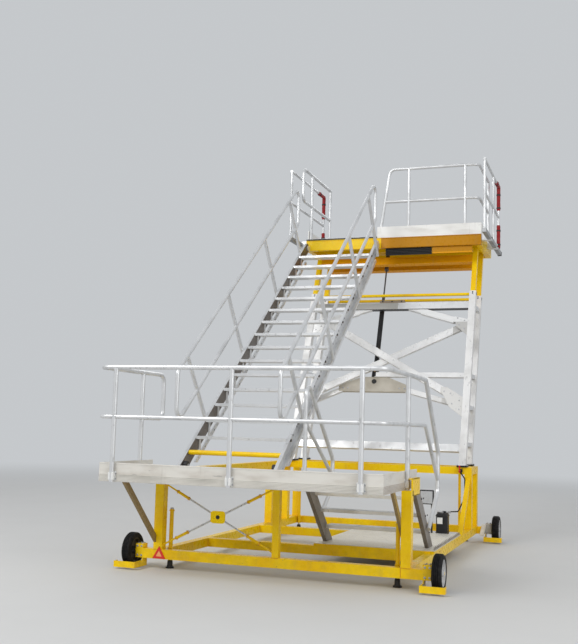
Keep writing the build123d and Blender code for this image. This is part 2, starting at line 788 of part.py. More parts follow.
upper_toe_z = (frame_z[1], platform_deck_top + upper_toe_height)
with BuildPart() as platform_toe_boards:
    block((opening_post_x[0] - tube_radius, platform_half),
          (platform_y[0], platform_y[0] + toe_board_thickness),
          upper_toe_z)
    for x, start in ((-platform_half, deck_inset),
                     (platform_half - toe_board_thickness, toe_board_thickness + seam)):
        block((x, x + toe_board_thickness), (platform_y[0] + start, platform_y[1]), upper_toe_z)
finish(platform_toe_boards, "platform_toe_boards")

# Upper guardrail: it slants down at the stair's opening, and a hoop on the left reaches out
# beside the stair
upper_rail_z = platform_deck_top + guardrail_height - tube_radius
upper_mid_z = platform_deck_top + upper_mid_rail_height
upper_front_line = platform_y[0] + toe_board_thickness + tube_radius
upper_side_line = platform_half - toe_board_thickness - tube_radius
rear_post_y = platform_y[1] - rear_post_inset
left_post_y = upper_front_line + left_post_inset
left_hoop_y = platform_y[0] - left_hoop_reach
opening_foot = (opening_post_x[0], upper_front_line, frame_z[1])
opening_head = (opening_post_x[1], upper_front_line, upper_rail_z)
slant_share = (upper_mid_z - frame_z[1]) / (upper_rail_z - frame_z[1])
slant_x = opening_post_x[0] + (opening_post_x[1] - opening_post_x[0]) * slant_share
upper_paths = (
    (
        opening_foot,
        opening_head,
        (upper_side_line, upper_front_line, upper_rail_z),
        (upper_side_line, rear_post_y + tube_radius, upper_rail_z),
    ),
    (
        (slant_x, upper_front_line, upper_mid_z),
        (upper_side_line, upper_front_line, upper_mid_z),
        (upper_side_line, rear_post_y, upper_mid_z),
    ),
    (
        (-upper_side_line, left_post_y, upper_mid_z),
        (-upper_side_line, left_hoop_y, upper_mid_z),
        (-upper_side_line, left_hoop_y, upper_rail_z),
        (-upper_side_line, rear_post_y + tube_radius, upper_rail_z),
    ),
)
left_mid = ((-upper_side_line, left_post_y, upper_mid_z), (-upper_side_line, rear_post_y, upper_mid_z))
upper_post_spots = [(x, upper_front_line, upper_rail_z) for x in upper_post_x]
upper_post_spots += [(side * upper_side_line, rear_post_y, upper_rail_z) for side in (-1, 1)]
upper_post_spots += [(-upper_side_line, left_post_y, upper_rail_z)]
upper_straight = []
upper_bends = []
for path in upper_paths:
    straight, bends = centre_line(path)
    upper_straight += straight
    upper_bends += bends

slant_edges = [edge for edge in upper_straight if edge.center().Z < upper_mid_z - seam]
level_edges = [edge for edge in upper_straight if edge.center().Z > upper_mid_z - seam]
with BuildPart() as platform_posts:
    tubes(slant_edges, tube_radius)
    for x, y, top in upper_post_spots:
        rod((x, y, frame_z[1]), (x, y, top), tube_radius)
    tubes([edge for edge in upper_straight if edge.center().Z > upper_rail_z - seam],
          tube_radius + saddle_gap, Mode.SUBTRACT)
    block(wide, (front, -front), (0, frame_z[1]), Mode.SUBTRACT)
finish(platform_posts, "platform_posts")

with BuildPart() as platform_rails:
    tubes(level_edges, tube_radius)
    rod(*left_mid, tube_radius)
    for x, y, top in upper_post_spots:
        rod((x, y, frame_z[1]), (x, y, min(top, upper_rail_z - 2 * tube_radius)), tube_radius, Mode.SUBTRACT)
    tubes(slant_edges, tube_radius + saddle_gap, Mode.SUBTRACT)
finish(platform_rails, "platform_rails")

with BuildPart() as platform_rail_bends:
    tubes(upper_bends, tube_radius)
finish(platform_rail_bends, "platform_rail_bends")

# Sleeves on the platform's sides, in which the side guards slide
sleeve_hole = guard_beam / 2 + slide_clearance
sleeve_half = sleeve_hole + sleeve_wall
beam_centre_z = guard_beam_z + guard_beam / 2
with BuildPart() as guard_sleeves:
    for side in (-1, 1):
        x = side * guard_x
        for at in sleeve_at:
            y = (depth_at(at), depth_at(at) + sleeve_length)
            block((side * platform_half, side * (guard_x - sleeve_half + seam)), y,
                  (guard_beam_z - sleeve_wall, frame_z[1]))
            block((x - sleeve_half, x + sleeve_half), y,
                  (beam_centre_z - sleeve_half, beam_centre_z + sleeve_half))
            block((x - sleeve_hole, x + sleeve_hole), y,
                  (beam_centre_z - sleeve_hole, beam_centre_z + sleeve_hole),
                  Mode.SUBTRACT)
finish(guard_sleeves, "guard_sleeves")

# Sliding side guards: a base beam, posts, rails and padded rear posts
guard_y = (depth_at(guard_front_at), depth_at(guard_rear_at))
guard_post_y = [depth_at(at) for at in (guard_front_at, guard_mid_at, guard_rear_at)]
beam_top = guard_beam_z + guard_beam
for side, name in ((-1, "left"), (1, "right")):
    x = side * guard_x
    with BuildPart() as guard_posts:
        for y in guard_post_y:
            rod((x, y, beam_top), (x, y, guard_top_z), guard_tube_radius)
        rod((x, guard_y[0] - guard_beam, guard_top_z), (x, guard_y[1] + guard_beam, guard_top_z),
            guard_tube_radius + saddle_gap, Mode.SUBTRACT)
    finish(guard_posts, f"side_guard_posts_{name}")
    with BuildPart() as guard_rails:
        block((x - guard_beam / 2, x + guard_beam / 2),
              (guard_y[0] - guard_beam_end, guard_y[1] + guard_beam_tail), (guard_beam_z, beam_top))
        rod((x, guard_y[0] - guard_tube_radius, guard_top_z), (x, guard_y[1] + guard_tube_radius, guard_top_z),
            guard_tube_radius)
        rod((x, guard_y[0], guard_mid_z), (x, guard_y[1], guard_mid_z), guard_tube_radius)
        for y in guard_post_y:
            rod((x, y, beam_top), (x, y, guard_mid_z + bumper_gap[0]), guard_tube_radius, Mode.SUBTRACT)
    finish(guard_rails, f"side_guard_rails_{name}")
    with BuildPart() as bumpers:
        corner = (x, guard_y[1], guard_top_z)
        rod((x, guard_y[1], beam_top + guard_beam_end / 2), (x, guard_y[1], guard_mid_z - bumper_gap[1]),
            bumper_radius)
        rod((x, guard_y[1], guard_mid_z + bumper_gap[0]), corner, bumper_radius)
        rod((x, guard_y[1] - bumper_reach, guard_top_z), corner, bumper_radius)
        with Locations(corner):
            Sphere(bumper_radius)
        rod((x, guard_y[1], beam_top), corner, guard_tube_radius, Mode.SUBTRACT)
        rod((x, guard_y[0], guard_top_z), (x, guard_y[1] + guard_tube_radius, guard_top_z), guard_tube_radius,
            Mode.SUBTRACT)
    finish(bumpers, f"bumpers_{name}")

# Main stair: channel stringers open outwards, turning on pins at the platform's front
stair_slope = Vector(0, stair_run, stair_rise).normalized()
stair_normal = Vector(0, -stair_rise, stair_run).normalized()
first_nose = Vector(0, depth_at(first_tread_at), first_tread_z)


def stair_point(steps, drop=0):
    """Point on the nosing line after a number of steps, dropped square to the slope."""
    return first_nose + Vector(0, stair_run, stair_rise) * steps - stair_normal * drop


def steps_at(y):
    """Number of steps at which the nosing line reaches a Y."""
    return (y - first_nose.Y) / stair_run


centre_drop = stringer_drop + stair_stringer_depth / 2
hinge_y = platform_y[0] - stair_stringer_depth / 2 - hinge_gap
hinge = stair_point(steps_at(hinge_y + stair_normal.Y * centre_drop), centre_drop)
cut_z = upper_rail_top + foot_clearance
stringer_x = ((stair_left, stair_left + stair_flange), (stair_right - stair_flange, stair_right))
below_stair = (front, depth_at(second_rail_at + landing_depth))
with BuildPart() as stair_stringers:
    low = stair_point(-3, centre_drop)
    stop = hinge - stair_slope * stair_stringer_depth
    for side, (x0, x1) in zip((-1, 1), stringer_x):
        centre = (x0 + x1) / 2
        pocket = centre + side * stair_web / 2
        bar((centre, low.Y, low.Z), (centre, hinge.Y, hinge.Z), stair_flange, stair_stringer_depth)
        bar((pocket, low.Y, low.Z), (pocket, stop.Y, stop.Z), stair_flange - stair_web,
            stair_stringer_depth - 2 * stair_web, mode=Mode.SUBTRACT)
        rod((x0, hinge.Y, hinge.Z), (x1, hinge.Y, hinge.Z), stair_stringer_depth / 2)
        rod((x0 - 5, hinge.Y, hinge.Z), (x1 + 5, hinge.Y, hinge.Z), hinge_pin_radius + hinge_pin_clearance,
            Mode.SUBTRACT)
    block(wide, below_stair, (0, cut_z), Mode.SUBTRACT)
    block(wide, (front, depth_at(stair_foot_at)), (0, cut_z + 1000), Mode.SUBTRACT)
finish(stair_stringers, "stair_stringers")

# Level treads, and under each end a hanger plate down to the link bars
tread_x = (stringer_x[0][1], stringer_x[1][0])
with BuildPart() as stair_treads:
    for step in range(stair_tread_count):
        nose = stair_point(step)
        block(tread_x, (nose.Y, nose.Y + stair_tread_depth), (nose.Z - tread_thickness, nose.Z))
        hanger_y = nose.Y + hanger_back
        link_low = stair_point(steps_at(hanger_y + hanger_width)).Z - (link_drop + link_height / 2) / stair_normal.Z
        for x, inward in ((tread_x[0], 1), (tread_x[1], -1)):
            block((x, x + inward * hanger_thickness), (hanger_y, hanger_y + hanger_width),
                  (link_low, nose.Z - tread_thickness - seam))
finish(stair_treads, "stair_treads")

with BuildPart() as stair_links:
    for x in (tread_x[0] - link_width / 2, tread_x[1] + link_width / 2):
        low = stair_point(-2, link_drop)
        high = stair_point(stair_tread_count - 0.2, link_drop)
        bar((x, low.Y, low.Z), (x, high.Y, high.Z), link_width, link_height)
    block(wide, below_stair, (0, landing_deck_top + link_floor_gap), Mode.SUBTRACT)
finish(stair_links, "stair_links")

# Foot of the stair: a round bar between the stringers, and rollers over the landing's deck
roller = Vector(0, depth_at(roller_at), landing_deck_top + roller_gap + roller_radius)
foot_bar = stair_point(foot_bar_steps, foot_bar_drop)
with BuildPart() as stair_foot:
    rod((tread_x[0], foot_bar.Y, foot_bar.Z), (tread_x[1], foot_bar.Y, foot_bar.Z), foot_bar_radius)
    for x, inward in ((tread_x[0], 1), (tread_x[1], -1)):
        rod((x, roller.Y, roller.Z), (x + inward * (roller_width + 2 * roller_side_gap), roller.Y, roller.Z),
            roller_axle_radius)
finish(stair_foot, "stair_foot")

with BuildPart() as stair_rollers:
    for x, inward in ((tread_x[0], 1), (tread_x[1], -1)):
        near = x + inward * roller_side_gap
        far = near + inward * roller_width
        rod((near, roller.Y, roller.Z), (far, roller.Y, roller.Z), roller_radius)
        rod((near, roller.Y, roller.Z), (far, roller.Y, roller.Z), roller_axle_radius + roller_axle_clearance,
            Mode.SUBTRACT)
finish(stair_rollers, "stair_rollers")

# Hinges: lugs on the platform's front with the pins the stringers turn on
with BuildPart() as stair_hinges:
    for inner, outer in ((stringer_x[0][1] + hinge_side_gap, stair_left - hinge_pin_end),
                         (stringer_x[1][0] - hinge_side_gap, stair_right + hinge_pin_end)):
        away = 1 if outer < inner else -1
        lug_x = (inner, inner + away * hinge_lug_thickness)
        rod((lug_x[0], hinge.Y, hinge.Z), (lug_x[1], hinge.Y, hinge.Z), hinge_lug_radius)
        block(lug_x, (hinge.Y, platform_y[0]), (hinge.Z - hinge_lug_radius, hinge.Z + hinge_lug_radius))
        rod((lug_x[1], hinge.Y, hinge.Z), (outer, hinge.Y, hinge.Z), hinge_pin_radius)
finish(stair_hinges, "stair_hinges")

# Stair handrails: loops of bent tube on posts square to the slope, outside the stringers
loop_y = [depth_at(at) for at in stair_rail_end_at]
rail_rise = stair_rail_height * stair_normal.Z
handrail_straight = []
handrail_bends = []
stair_post_lines = []
for x in (stair_left - post_stand, stair_right + post_stand):
    for steps in stair_post_steps:
        foot = stair_point(steps, stringer_drop + stair_stringer_depth)
        head = stair_point(steps, -rail_rise)
        stair_post_lines.append(((x, foot.Y, foot.Z), (x, head.Y, head.Z)))
    corners = [(x, y, stair_point(steps_at(y)).Z + height) for y, height in (
        (loop_y[1], stair_mid_height), (loop_y[1], stair_rail_height),
        (loop_y[0], stair_rail_height), (loop_y[0], stair_mid_height))]
    joint = stair_point(stair_post_steps[2], -stair_mid_height * stair_normal.Z)
    joint_far = joint + stair_slope * seam
    straight, bends = centre_line(((x, joint_far.Y, joint_far.Z), *corners, (x, joint.Y, joint.Z)))
    handrail_straight += straight
    handrail_bends += bends

with BuildPart() as stair_posts:
    for foot, head in stair_post_lines:
        rod(foot, head, tube_radius)
    for x in (stair_left - post_stand, stair_right + post_stand):
        ends = [stair_point(steps, -rail_rise) for steps in (-1, stair_tread_count + 2)]
        rod((x, ends[0].Y, ends[0].Z), (x, ends[1].Y, ends[1].Z), tube_radius + saddle_gap, Mode.SUBTRACT)
    add(stair_stringers.part, mode=Mode.SUBTRACT)
finish(stair_posts, "stair_posts")

with BuildPart() as stair_rails:
    tubes(handrail_straight, tube_radius)
    for foot, head in stair_post_lines:
        neck = Vector(*head) - stair_normal * 2 * tube_radius
        rod(foot, tuple(neck), tube_radius, Mode.SUBTRACT)
finish(stair_rails, "stair_rails")

with BuildPart() as stair_rail_bends:
    tubes(handrail_bends, tube_radius)
finish(stair_rail_bends, "stair_rail_bends")

# Wheels: solid tyres on dished hubs, turning on the outriggers' axles
rim = wheel_radius - tyre_height
half = wheel_width / 2
for side, side_name in ((-1, "left"), (1, "right")):
    for at, end_name in zip(wheel_at, ("front", "rear")):
        plane = Plane(origin=(side * wheel_x, depth_at(at), wheel_radius), x_dir=(side, 0, 0),
                      z_dir=(0, -side, 0))
        axle = Axis(plane.origin, (1, 0, 0))
        with BuildPart() as tyre:
            with BuildSketch(plane):
                with BuildLine():
                    Polyline(
                        (-half, rim),
                        (half, rim),
                        (half, wheel_radius - tyre_shoulder),
                        (half - tyre_shoulder, wheel_radius),
                        (-half + tyre_shoulder, wheel_radius),
                        (-half, wheel_radius - tyre_shoulder),
                        close=True,
                    )
                make_face()
            revolve(axis=axle)
        finish(tyre, f"tyre_{end_name}_{side_name}")
        with BuildPart() as hub:
            with BuildSketch(plane):
                with BuildLine():
                    Polyline(
                        (-half + rim_lip, rim),
                        (half - rim_lip / 2, rim),
                        (half - rim_lip / 2, rim - rim_lip),
                        (half - 3 * rim_lip, rim - 2 * rim_lip),
                        (half - 3 * rim_lip, hub_boss_radius),
                        (half, hub_boss_radius - rim_lip / 2),
                        (half, hub_bore_radius),
                        (-half + rim_lip, hub_bore_radius),
                        (-half + rim_lip, hub_boss_radius),
                        (0, hub_boss_radius),
                        (0, rim - 2 * rim_lip),
                        (-half + rim_lip, rim - rim_lip),
                        close=True,
                    )
                make_face()
            revolve(axis=axle)
        finish(hub, f"hub_{end_name}_{side_name}")

# Hand pump on a tray behind the third cross rail, and its valve on the upper cross rail
tray_y = depth_at(third_rail_at + rail_section)
width, depth, height = pump_size
pump_y = (tray_y + pump_tray_edge, tray_y + pump_tray_edge + depth)
pump_top = rail_top + height
neck = (pump_x, sum(pump_y) / 2, pump_top)
with BuildPart() as pump_unit:
    block((pump_x - width / 2 - pump_tray_edge, right_x), (tray_y, pump_y[1] + pump_tray_edge),
          (rail_top - pump_tray, rail_top))
    block((pump_x - width / 2, pump_x + width / 2), pump_y, (rail_top, pump_top))
    rod(neck, (neck[0], neck[1], pump_top + pump_neck_height), pump_neck_radius)
    block((valve_x - valve_size[0] / 2, valve_x + valve_size[0] / 2), (post_face - valve_size[1], post_face),
          (valve_z, valve_z + valve_size[2]))
finish(pump_unit, "pump_unit")

# Pressure hose from the pump's neck to the valve
hose_points = [(neck[0], neck[1] + pump_neck_radius, pump_top + pump_neck_height / 2)]
hose_points += [(x, depth_at(at), z) for x, at, z in hose_run]
hose_points += [(valve_x, post_face - valve_size[1] / 2, valve_z)]
hose_straight, hose_bends = centre_line(hose_points, hose_bend)
with BuildPart() as pump_hose:
    with BuildLine() as hose_line:
        FilletPolyline(*hose_points, radius=hose_bend)
    with BuildSketch(Plane(origin=hose_line.line @ 0, z_dir=hose_line.line % 0)) as hose_section:
        Circle(hose_radius)
    sweep(hose_section.sketch, path=hose_line.line)
    add(pump_unit.part, mode=Mode.SUBTRACT)
finish(pump_hose, "pump_hose")
print("hose bend radii:", [round(edge.radius) for edge in hose_bends])
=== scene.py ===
"""Dresses the variable height access platform: finishes, treads, bolts, pads and the studio."""

import json
import logging
import math
from dataclasses import dataclass, field
from enum import Enum
from typing import ClassVar, Iterable, Sequence

import bpy
from mathutils import Matrix, Vector


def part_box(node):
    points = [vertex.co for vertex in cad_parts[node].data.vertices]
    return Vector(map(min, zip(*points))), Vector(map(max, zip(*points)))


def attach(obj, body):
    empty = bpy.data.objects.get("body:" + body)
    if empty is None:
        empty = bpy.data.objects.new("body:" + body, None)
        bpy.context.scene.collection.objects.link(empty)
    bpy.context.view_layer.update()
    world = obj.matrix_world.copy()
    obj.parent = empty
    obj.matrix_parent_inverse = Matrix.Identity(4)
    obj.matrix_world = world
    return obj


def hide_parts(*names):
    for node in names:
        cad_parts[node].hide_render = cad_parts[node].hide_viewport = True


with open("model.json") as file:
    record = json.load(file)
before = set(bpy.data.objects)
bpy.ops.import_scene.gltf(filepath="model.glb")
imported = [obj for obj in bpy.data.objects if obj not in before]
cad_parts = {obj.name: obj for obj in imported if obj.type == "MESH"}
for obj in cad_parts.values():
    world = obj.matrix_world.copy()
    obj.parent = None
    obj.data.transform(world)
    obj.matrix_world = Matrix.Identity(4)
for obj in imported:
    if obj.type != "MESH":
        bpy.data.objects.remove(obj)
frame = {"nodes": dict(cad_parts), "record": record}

Point = tuple[float, float, float]
Colour = tuple[float, float, float, float]
Limits = tuple[float | None, float | None, float | None]
Profile = Sequence[tuple[float, float]]
Socket = bpy.types.NodeSocket
Piece = bpy.types.Object

logging.basicConfig(level=logging.INFO, format="%(message)s")
report = logging.getLogger("platform")

SIDES = (-1, 1)
UP = Vector((0, 0, 1))
AHEAD = Vector((0, -1, 0))
FRONT = -3.5415
FRONT_RAIL = 0.79
WHEELS_AT = (0.84, 5.395)
RING = (-0.673, 0.583)
LEAN = math.radians(20)
MAST_AXIS = Vector((0, math.sin(LEAN), math.cos(LEAN)))
MAST_FACE = Vector((0, -math.cos(LEAN), math.sin(LEAN)))
MAST_FOOT = (FRONT + 4.93, 1.188)
MAST_SPACING = 0.58
STAIR_NOSE = (FRONT + 1.661, 1.415)
STAIR_STEP = (0.254, 0.2)
TREADS = 15
TREAD_RIBS = 8
PLANK_PITCH = 0.03
MERGE = 0.00002
BATCH = 100

shift = Matrix.Translation


class Body(Enum):
    """The moving bodies that pieces ride on."""

    CHASSIS = "chassis"
    PLATFORM = "platform"
    STAIR = "stair"
    GUARD_LEFT = "side_guard_left"
    GUARD_RIGHT = "side_guard_right"


class Slot(Enum):
    """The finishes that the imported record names."""

    YELLOW = "yellow_paint"
    ALUMINIUM = "bare_aluminium"
    BOARD = "off_white_board"
    BLACK = "black_paint"
    HUB = "grey_hub"
    PADDING = "red_padding"
    TYRE = "tyre_rubber"


class Tree:
    """A node tree, with short ways to fill it."""

    def __init__(self, owner: bpy.types.Material | bpy.types.World) -> None:
        """Turns on the nodes of a material or world.

        Args:
            owner: What the nodes belong to.
        """
        owner.use_nodes = True
        self.nodes = owner.node_tree.nodes
        self.links = owner.node_tree.links

    def plug(self, socket: Socket, value: object) -> None:
        """Links a socket, or sets its value.

        Args:
            socket: The input.
            value: Another node's output, or a number or colour.
        """
        if isinstance(value, Socket):
            self.links.new(value, socket)
        else:
            socket.default_value = value

    def node(self, kind: str, **inputs: object) -> bpy.types.Node:
        """Adds a node.

        Args:
            kind: The node's kind, without the words that all kinds begin with.
            inputs: Values by the socket's name, with _ for a space.

        Returns:
            The node.
        """
        node = self.nodes.new("ShaderNode" + kind)
        for name, value in inputs.items():
            self.plug(node.inputs[name.replace("_", " ")], value)
        return node

    def maths(self, operation: str, *values: object) -> Socket:
        """A sum on one or two values.

        Args:
            operation: The node's operation.
            values: What goes in.

        Returns:
            The result.
        """
        node = self.node("Math")
        node.operation = operation
        for socket, value in zip(node.inputs, values):
            self.plug(socket, value)
        return node.outputs[0]

    def surface(self, output: str, share: Socket, near: bpy.types.Node, far: bpy.types.Node) -> None:
        """Ends the tree in a mix of two shaders.

        Args:
            output: The output's name.
            share: How much of the second shows.
            near: The first shader.
            far: The second shader.
        """
        mix = self.node("MixShader")
        for socket, source in zip(mix.inputs, (share, near.outputs[0], far.outputs[0])):
            self.links.new(source, socket)
        self.links.new(mix.outputs[0], self.nodes[output].inputs["Surface"])


class Graph(Tree):
    """The node tree of one finish, with a shader at its end."""

    def __init__(self, name: str) -> None:
        """Starts an empty material with its shader.

        Args:
            name: The material's name.
        """
        self.material = bpy.data.materials.new(name)
        super().__init__(self.material)
        self.shader = self.nodes["Principled BSDF"]
        self.coordinates = self.node("TexCoord").outputs["Object"]

    def stretched(self, scale: Point) -> Socket:
        """The object's coordinates, stretched along its axes."""
        return self.node("Mapping", Vector=self.coordinates, Scale=scale).outputs["Vector"]

    def noise(self, scale: float, detail: float = 3, stretch: Point = (1, 1, 1)) -> Socket:
        """A pattern from 0 to 1 of so many clouds in a metre, with finer layers in them."""
        place = self.stretched(stretch)
        return self.node("TexNoise", Vector=place, Scale=scale, Detail=detail).outputs["Fac"]

    def cells(self, scale: float) -> Socket:
        """The distance from the centre of the nearest of so many cells in a metre."""
        return self.node("TexVoronoi", Vector=self.coordinates, Scale=scale).outputs["Distance"]

    def ramp(self, value: object, low: float, high: float, start: float = 0, end: float = 1) -> Socket:
        """A smooth step.

        Args:
            value: What is read.
            low: Where the step begins.
            high: Where it ends.
            start: Result at its beginning.
            end: Result at its end.

        Returns:
            The stepped value.
        """
        node = self.node("MapRange", Value=value, From_Min=low, From_Max=high, To_Min=start, To_Max=end)
        node.interpolation_type = "SMOOTHSTEP"
        return node.outputs["Result"]

    def blend(self, share: object, first: object, second: object) -> Socket:
        """A mix of two colours.

        Args:
            share: How much of the second shows.
            first: The first colour.
            second: The second colour.

        Returns:
            The mixed colour.
        """
        node = self.node("Mix")
        node.data_type = "RGBA"
        for name, value in (("Factor", share), ("A", first), ("B", second)):
            self.plug(node.inputs[name], value)
        return next(output for output in node.outputs if output.type == "RGBA")

    def stain(self, colour: object, tint: Colour, pattern: Socket, low: float, high: float, most: float = 1
              ) -> Socket:
        """A colour under a tint that shows where a pattern is high.

        Args:
            colour: The colour below.
            tint: The tint.
            pattern: The pattern.
            low: Its value where the tint begins.
            high: Its value where the tint is at its most.
            most: How much of the tint shows there.

        Returns:
            The stained colour.
        """
        return self.blend(self.ramp(pattern, low, high, 0, most), colour, tint)

    def zoned(self, colour: Socket, zones: Sequence["Zone"]) -> Socket:
        """A colour with the colours of zones laid over it.

        Args:
            colour: The colour below.
            zones: The zones.

        Returns:
            The colour with its zones.
        """
        for zone in zones:
            colour = self.blend(self.inside(zone.low, zone.high), colour, zone.colour)
        return colour

    def part(self, axis: int) -> Socket:
        """One of the object's coordinates, 0, 1 or 2."""
        return self.node("SeparateXYZ", Vector=self.coordinates).outputs[axis]

    def inside(self, low: Limits, high: Limits) -> Socket:
        """One where a point lies in a box, or else zero.

        Args:
            low: The box's lowest corner, None where it has no limit.
            high: The box's highest corner, None where it has no limit.

        Returns:
            The mask.
        """
        mask = None
        for axis in range(3):
            for limit, operation in ((low[axis], "GREATER_THAN"), (high[axis], "LESS_THAN")):
                if limit is None:
                    continue
                step = self.maths(operation, self.part(axis), limit)
                mask = step if mask is None else self.maths("MULTIPLY", mask, step)
        return mask

    def bump(self, height: Socket, strength: float, distance: float) -> None:
        """Gives the shader a relief of a strength, so many metres deep."""
        node = self.node("Bump", Height=height, Strength=strength, Distance=distance)
        self.links.new(node.outputs["Normal"], self.shader.inputs["Normal"])

    def finish(self, **sockets: object) -> bpy.types.Material:
        """Sets the shader's sockets.

        Args:
            sockets: Values by the socket's name, with _ for a space.

        Returns:
            The finished material.
        """
        for name, value in sockets.items():
            self.plug(self.shader.inputs[name.replace("_", " ")], value)
        return self.material


RUST: Colour = (0.3, 0.22, 0.12, 1)
GRIME: Colour = (0.12, 0.1, 0.075, 1)
PRIMER: Colour = (0.16, 0.14, 0.125, 1)
RUBBED: Colour = (0.3, 0.3, 0.3, 1)
BRIGHT: Colour = (0.9, 0.9, 0.9, 1)
RUNS: Colour = (0.36, 0.33, 0.28, 1)
SCUFFS: Colour = (0.25, 0.24, 0.23, 1)
SEAMS: Colour = (0.09, 0.008, 0.01, 1)
YELLOW: Colour = (0.96, 0.65, 0.003, 1)
AMBER: Colour = (0.88, 0.53, 0.002, 1)
SILVER: Colour = (0.62, 0.63, 0.64, 1)
TAN: Colour = (0.44, 0.4, 0.33, 1)
BEIGE: Colour = (0.62, 0.58, 0.5, 1)
DARK: Colour = (0.012, 0.012, 0.013, 1)
ACROSS: Point = (30, 1, 1)
EVEN: Point = (1, 1, 1)


@dataclass(frozen=True)
class Zone:
    """A part of a piece with a colour laid over it: its own colour, and in some finishes painted shade."""

    colour: Colour
    low: Limits = (None, None, None)
    high: Limits = (None, None, None)
    metal: float = 0.0


@dataclass(frozen=True)
class Paint:
    """Brushed or sprayed paint on steel, with chips, scuffs and floor dirt."""

    name: str
    colour: Colour
    shade: Colour
    roughness: float = 0.3
    chips: float = 0.73
    dirt: float = 0.2
    coat: float = 0.06
    zones: tuple[Zone, ...] = ()

    def make(self) -> bpy.types.Material:
        """Builds the material.

        Returns:
            The material.
        """
        graph = Graph(self.name)
        colour = graph.stain(self.colour, self.shade, graph.noise(2.6, 4), 0.35, 0.7)
        colour = graph.zoned(colour, self.zones)
        metal = 0.0
        for zone in self.zones:
            if zone.metal:
                metal = graph.maths("MULTIPLY", graph.inside(zone.low, zone.high), zone.metal)
        colour = graph.stain(colour, RUST, graph.noise(9, 5, (1, 1, 0.25)), 0.56, 0.8, 0.16)
        low_dirt = graph.maths("MULTIPLY", graph.ramp(graph.part(2), 0.0, 0.4, self.dirt, 0),
                               graph.ramp(graph.noise(14, 5), 0.35, 0.7))
        colour = graph.blend(low_dirt, colour, GRIME)
        chip = graph.ramp(graph.noise(46, 7), self.chips, self.chips + 0.02)
        colour = graph.blend(chip, colour, PRIMER)
        rough = graph.ramp(graph.noise(22, 4), 0.3, 0.75, self.roughness - 0.07, self.roughness + 0.16)
        relief = graph.maths("ADD", graph.noise(190, 2), graph.maths("MULTIPLY", chip, -2.0))
        graph.bump(relief, 0.12, 0.0008)
        return graph.finish(Base_Color=colour, Roughness=rough, Metallic=metal, Coat_Weight=self.coat,
                            Coat_Roughness=0.12, Specular_IOR_Level=0.2)


@dataclass(frozen=True)
class Aluminium:
    """Drawn or rolled aluminium with fine lines, dull clouds and grey rubs."""

    name: str
    colour: Colour = (0.74, 0.745, 0.75, 1)
    dull: Colour = (0.5, 0.505, 0.51, 1)
    lines: Point = (1, 1, 30)
    roughness: float = 0.34
    metal: float = 0.6
    zones: tuple[Zone, ...] = ()

    def make(self) -> bpy.types.Material:
        """Builds the material.

        Returns:
            The material.
        """
        graph = Graph(self.name)
        grain = graph.noise(38, 3, self.lines)
        clouds = graph.ramp(graph.noise(3.4, 5), 0.42, 0.72)
        colour = graph.blend(graph.maths("MULTIPLY", clouds, 0.6), self.colour, self.dull)
        colour = graph.zoned(colour, self.zones)
        colour = graph.stain(colour, RUBBED, graph.noise(27, 6, (1, 1, 0.4)), 0.6, 0.72, 0.45)
        colour = graph.stain(colour, BRIGHT, grain, 0.35, 0.75, 0.14)
        rough = graph.ramp(clouds, 0, 1, self.roughness, self.roughness + 0.16)
        graph.bump(grain, 0.08, 0.0006)
        return graph.finish(Base_Color=colour, Roughness=rough, Metallic=self.metal)


@dataclass(frozen=True)
class Board:
    """Coated board with worn clouds, runs and scuffs."""

    name: str
    colour: Colour = (0.69, 0.665, 0.61, 1)
    worn: Colour = (0.53, 0.49, 0.43, 1)

    def make(self) -> bpy.types.Material:
        """Builds the material.

        Returns:
            The material.
        """
        graph = Graph(self.name)
        colour = graph.stain(self.colour, self.worn, graph.noise(4.5, 5, (0.5, 0.5, 1.6)), 0.42, 0.75)
        colour = graph.stain(colour, RUNS, graph.noise(30, 5, (1, 1, 0.08)), 0.62, 0.78, 0.3)
        colour = graph.stain(colour, SCUFFS, graph.noise(24, 6, (0.25, 0.25, 1)), 0.67, 0.71, 0.5)
        rough = graph.ramp(graph.noise(18, 3), 0.3, 0.7, 0.38, 0.58)
        graph.bump(graph.noise(120, 2), 0.1, 0.0006)
        return graph.finish(Base_Color=colour, Roughness=rough)


@dataclass(frozen=True)
class Rubber:
    """Solid tyre or hose rubber: matte, dusty in its hollows."""

    name: str
    amount: float
    colour: Colour = (0.009, 0.009, 0.0095, 1)
    dust: Colour = (0.055, 0.05, 0.045, 1)

    def make(self) -> bpy.types.Material:
        """Builds the material.

        Returns:
            The material.
        """
        graph = Graph(self.name)
        colour = graph.stain(self.colour, self.dust, graph.noise(30, 6), 0.42, 0.75, self.amount)
        graph.bump(graph.noise(260, 3), 0.25, 0.0006)
        rough = graph.ramp(graph.noise(40, 3), 0.3, 0.7, 0.62, 0.86)
        return graph.finish(Base_Color=colour, Roughness=rough, Specular_IOR_Level=0.2)


@dataclass(frozen=True)
class Padding:
    """Dark red vinyl over foam: a fine leather grain, worn pale on its bulges."""

    name: str
    colour: Colour = (0.33, 0.01, 0.013, 1)
    worn: Colour = (0.42, 0.06, 0.05, 1)

    def make(self) -> bpy.types.Material:
        """Builds the material.

        Returns:
            The material.
        """
        graph = Graph(self.name)
        grain = graph.cells(420)
        colour = graph.stain(self.colour, self.worn, graph.noise(16, 5), 0.45, 0.75, 0.7)
        colour = graph.stain(colour, SEAMS, grain, 0.35, 0.8, 0.35)
        graph.bump(grain, 0.35, 0.0009)
        rough = graph.ramp(graph.noise(33, 3), 0.3, 0.7, 0.42, 0.62)
        return graph.finish(Base_Color=colour, Roughness=rough, Sheen_Weight=0.05, Specular_IOR_Level=0.25)


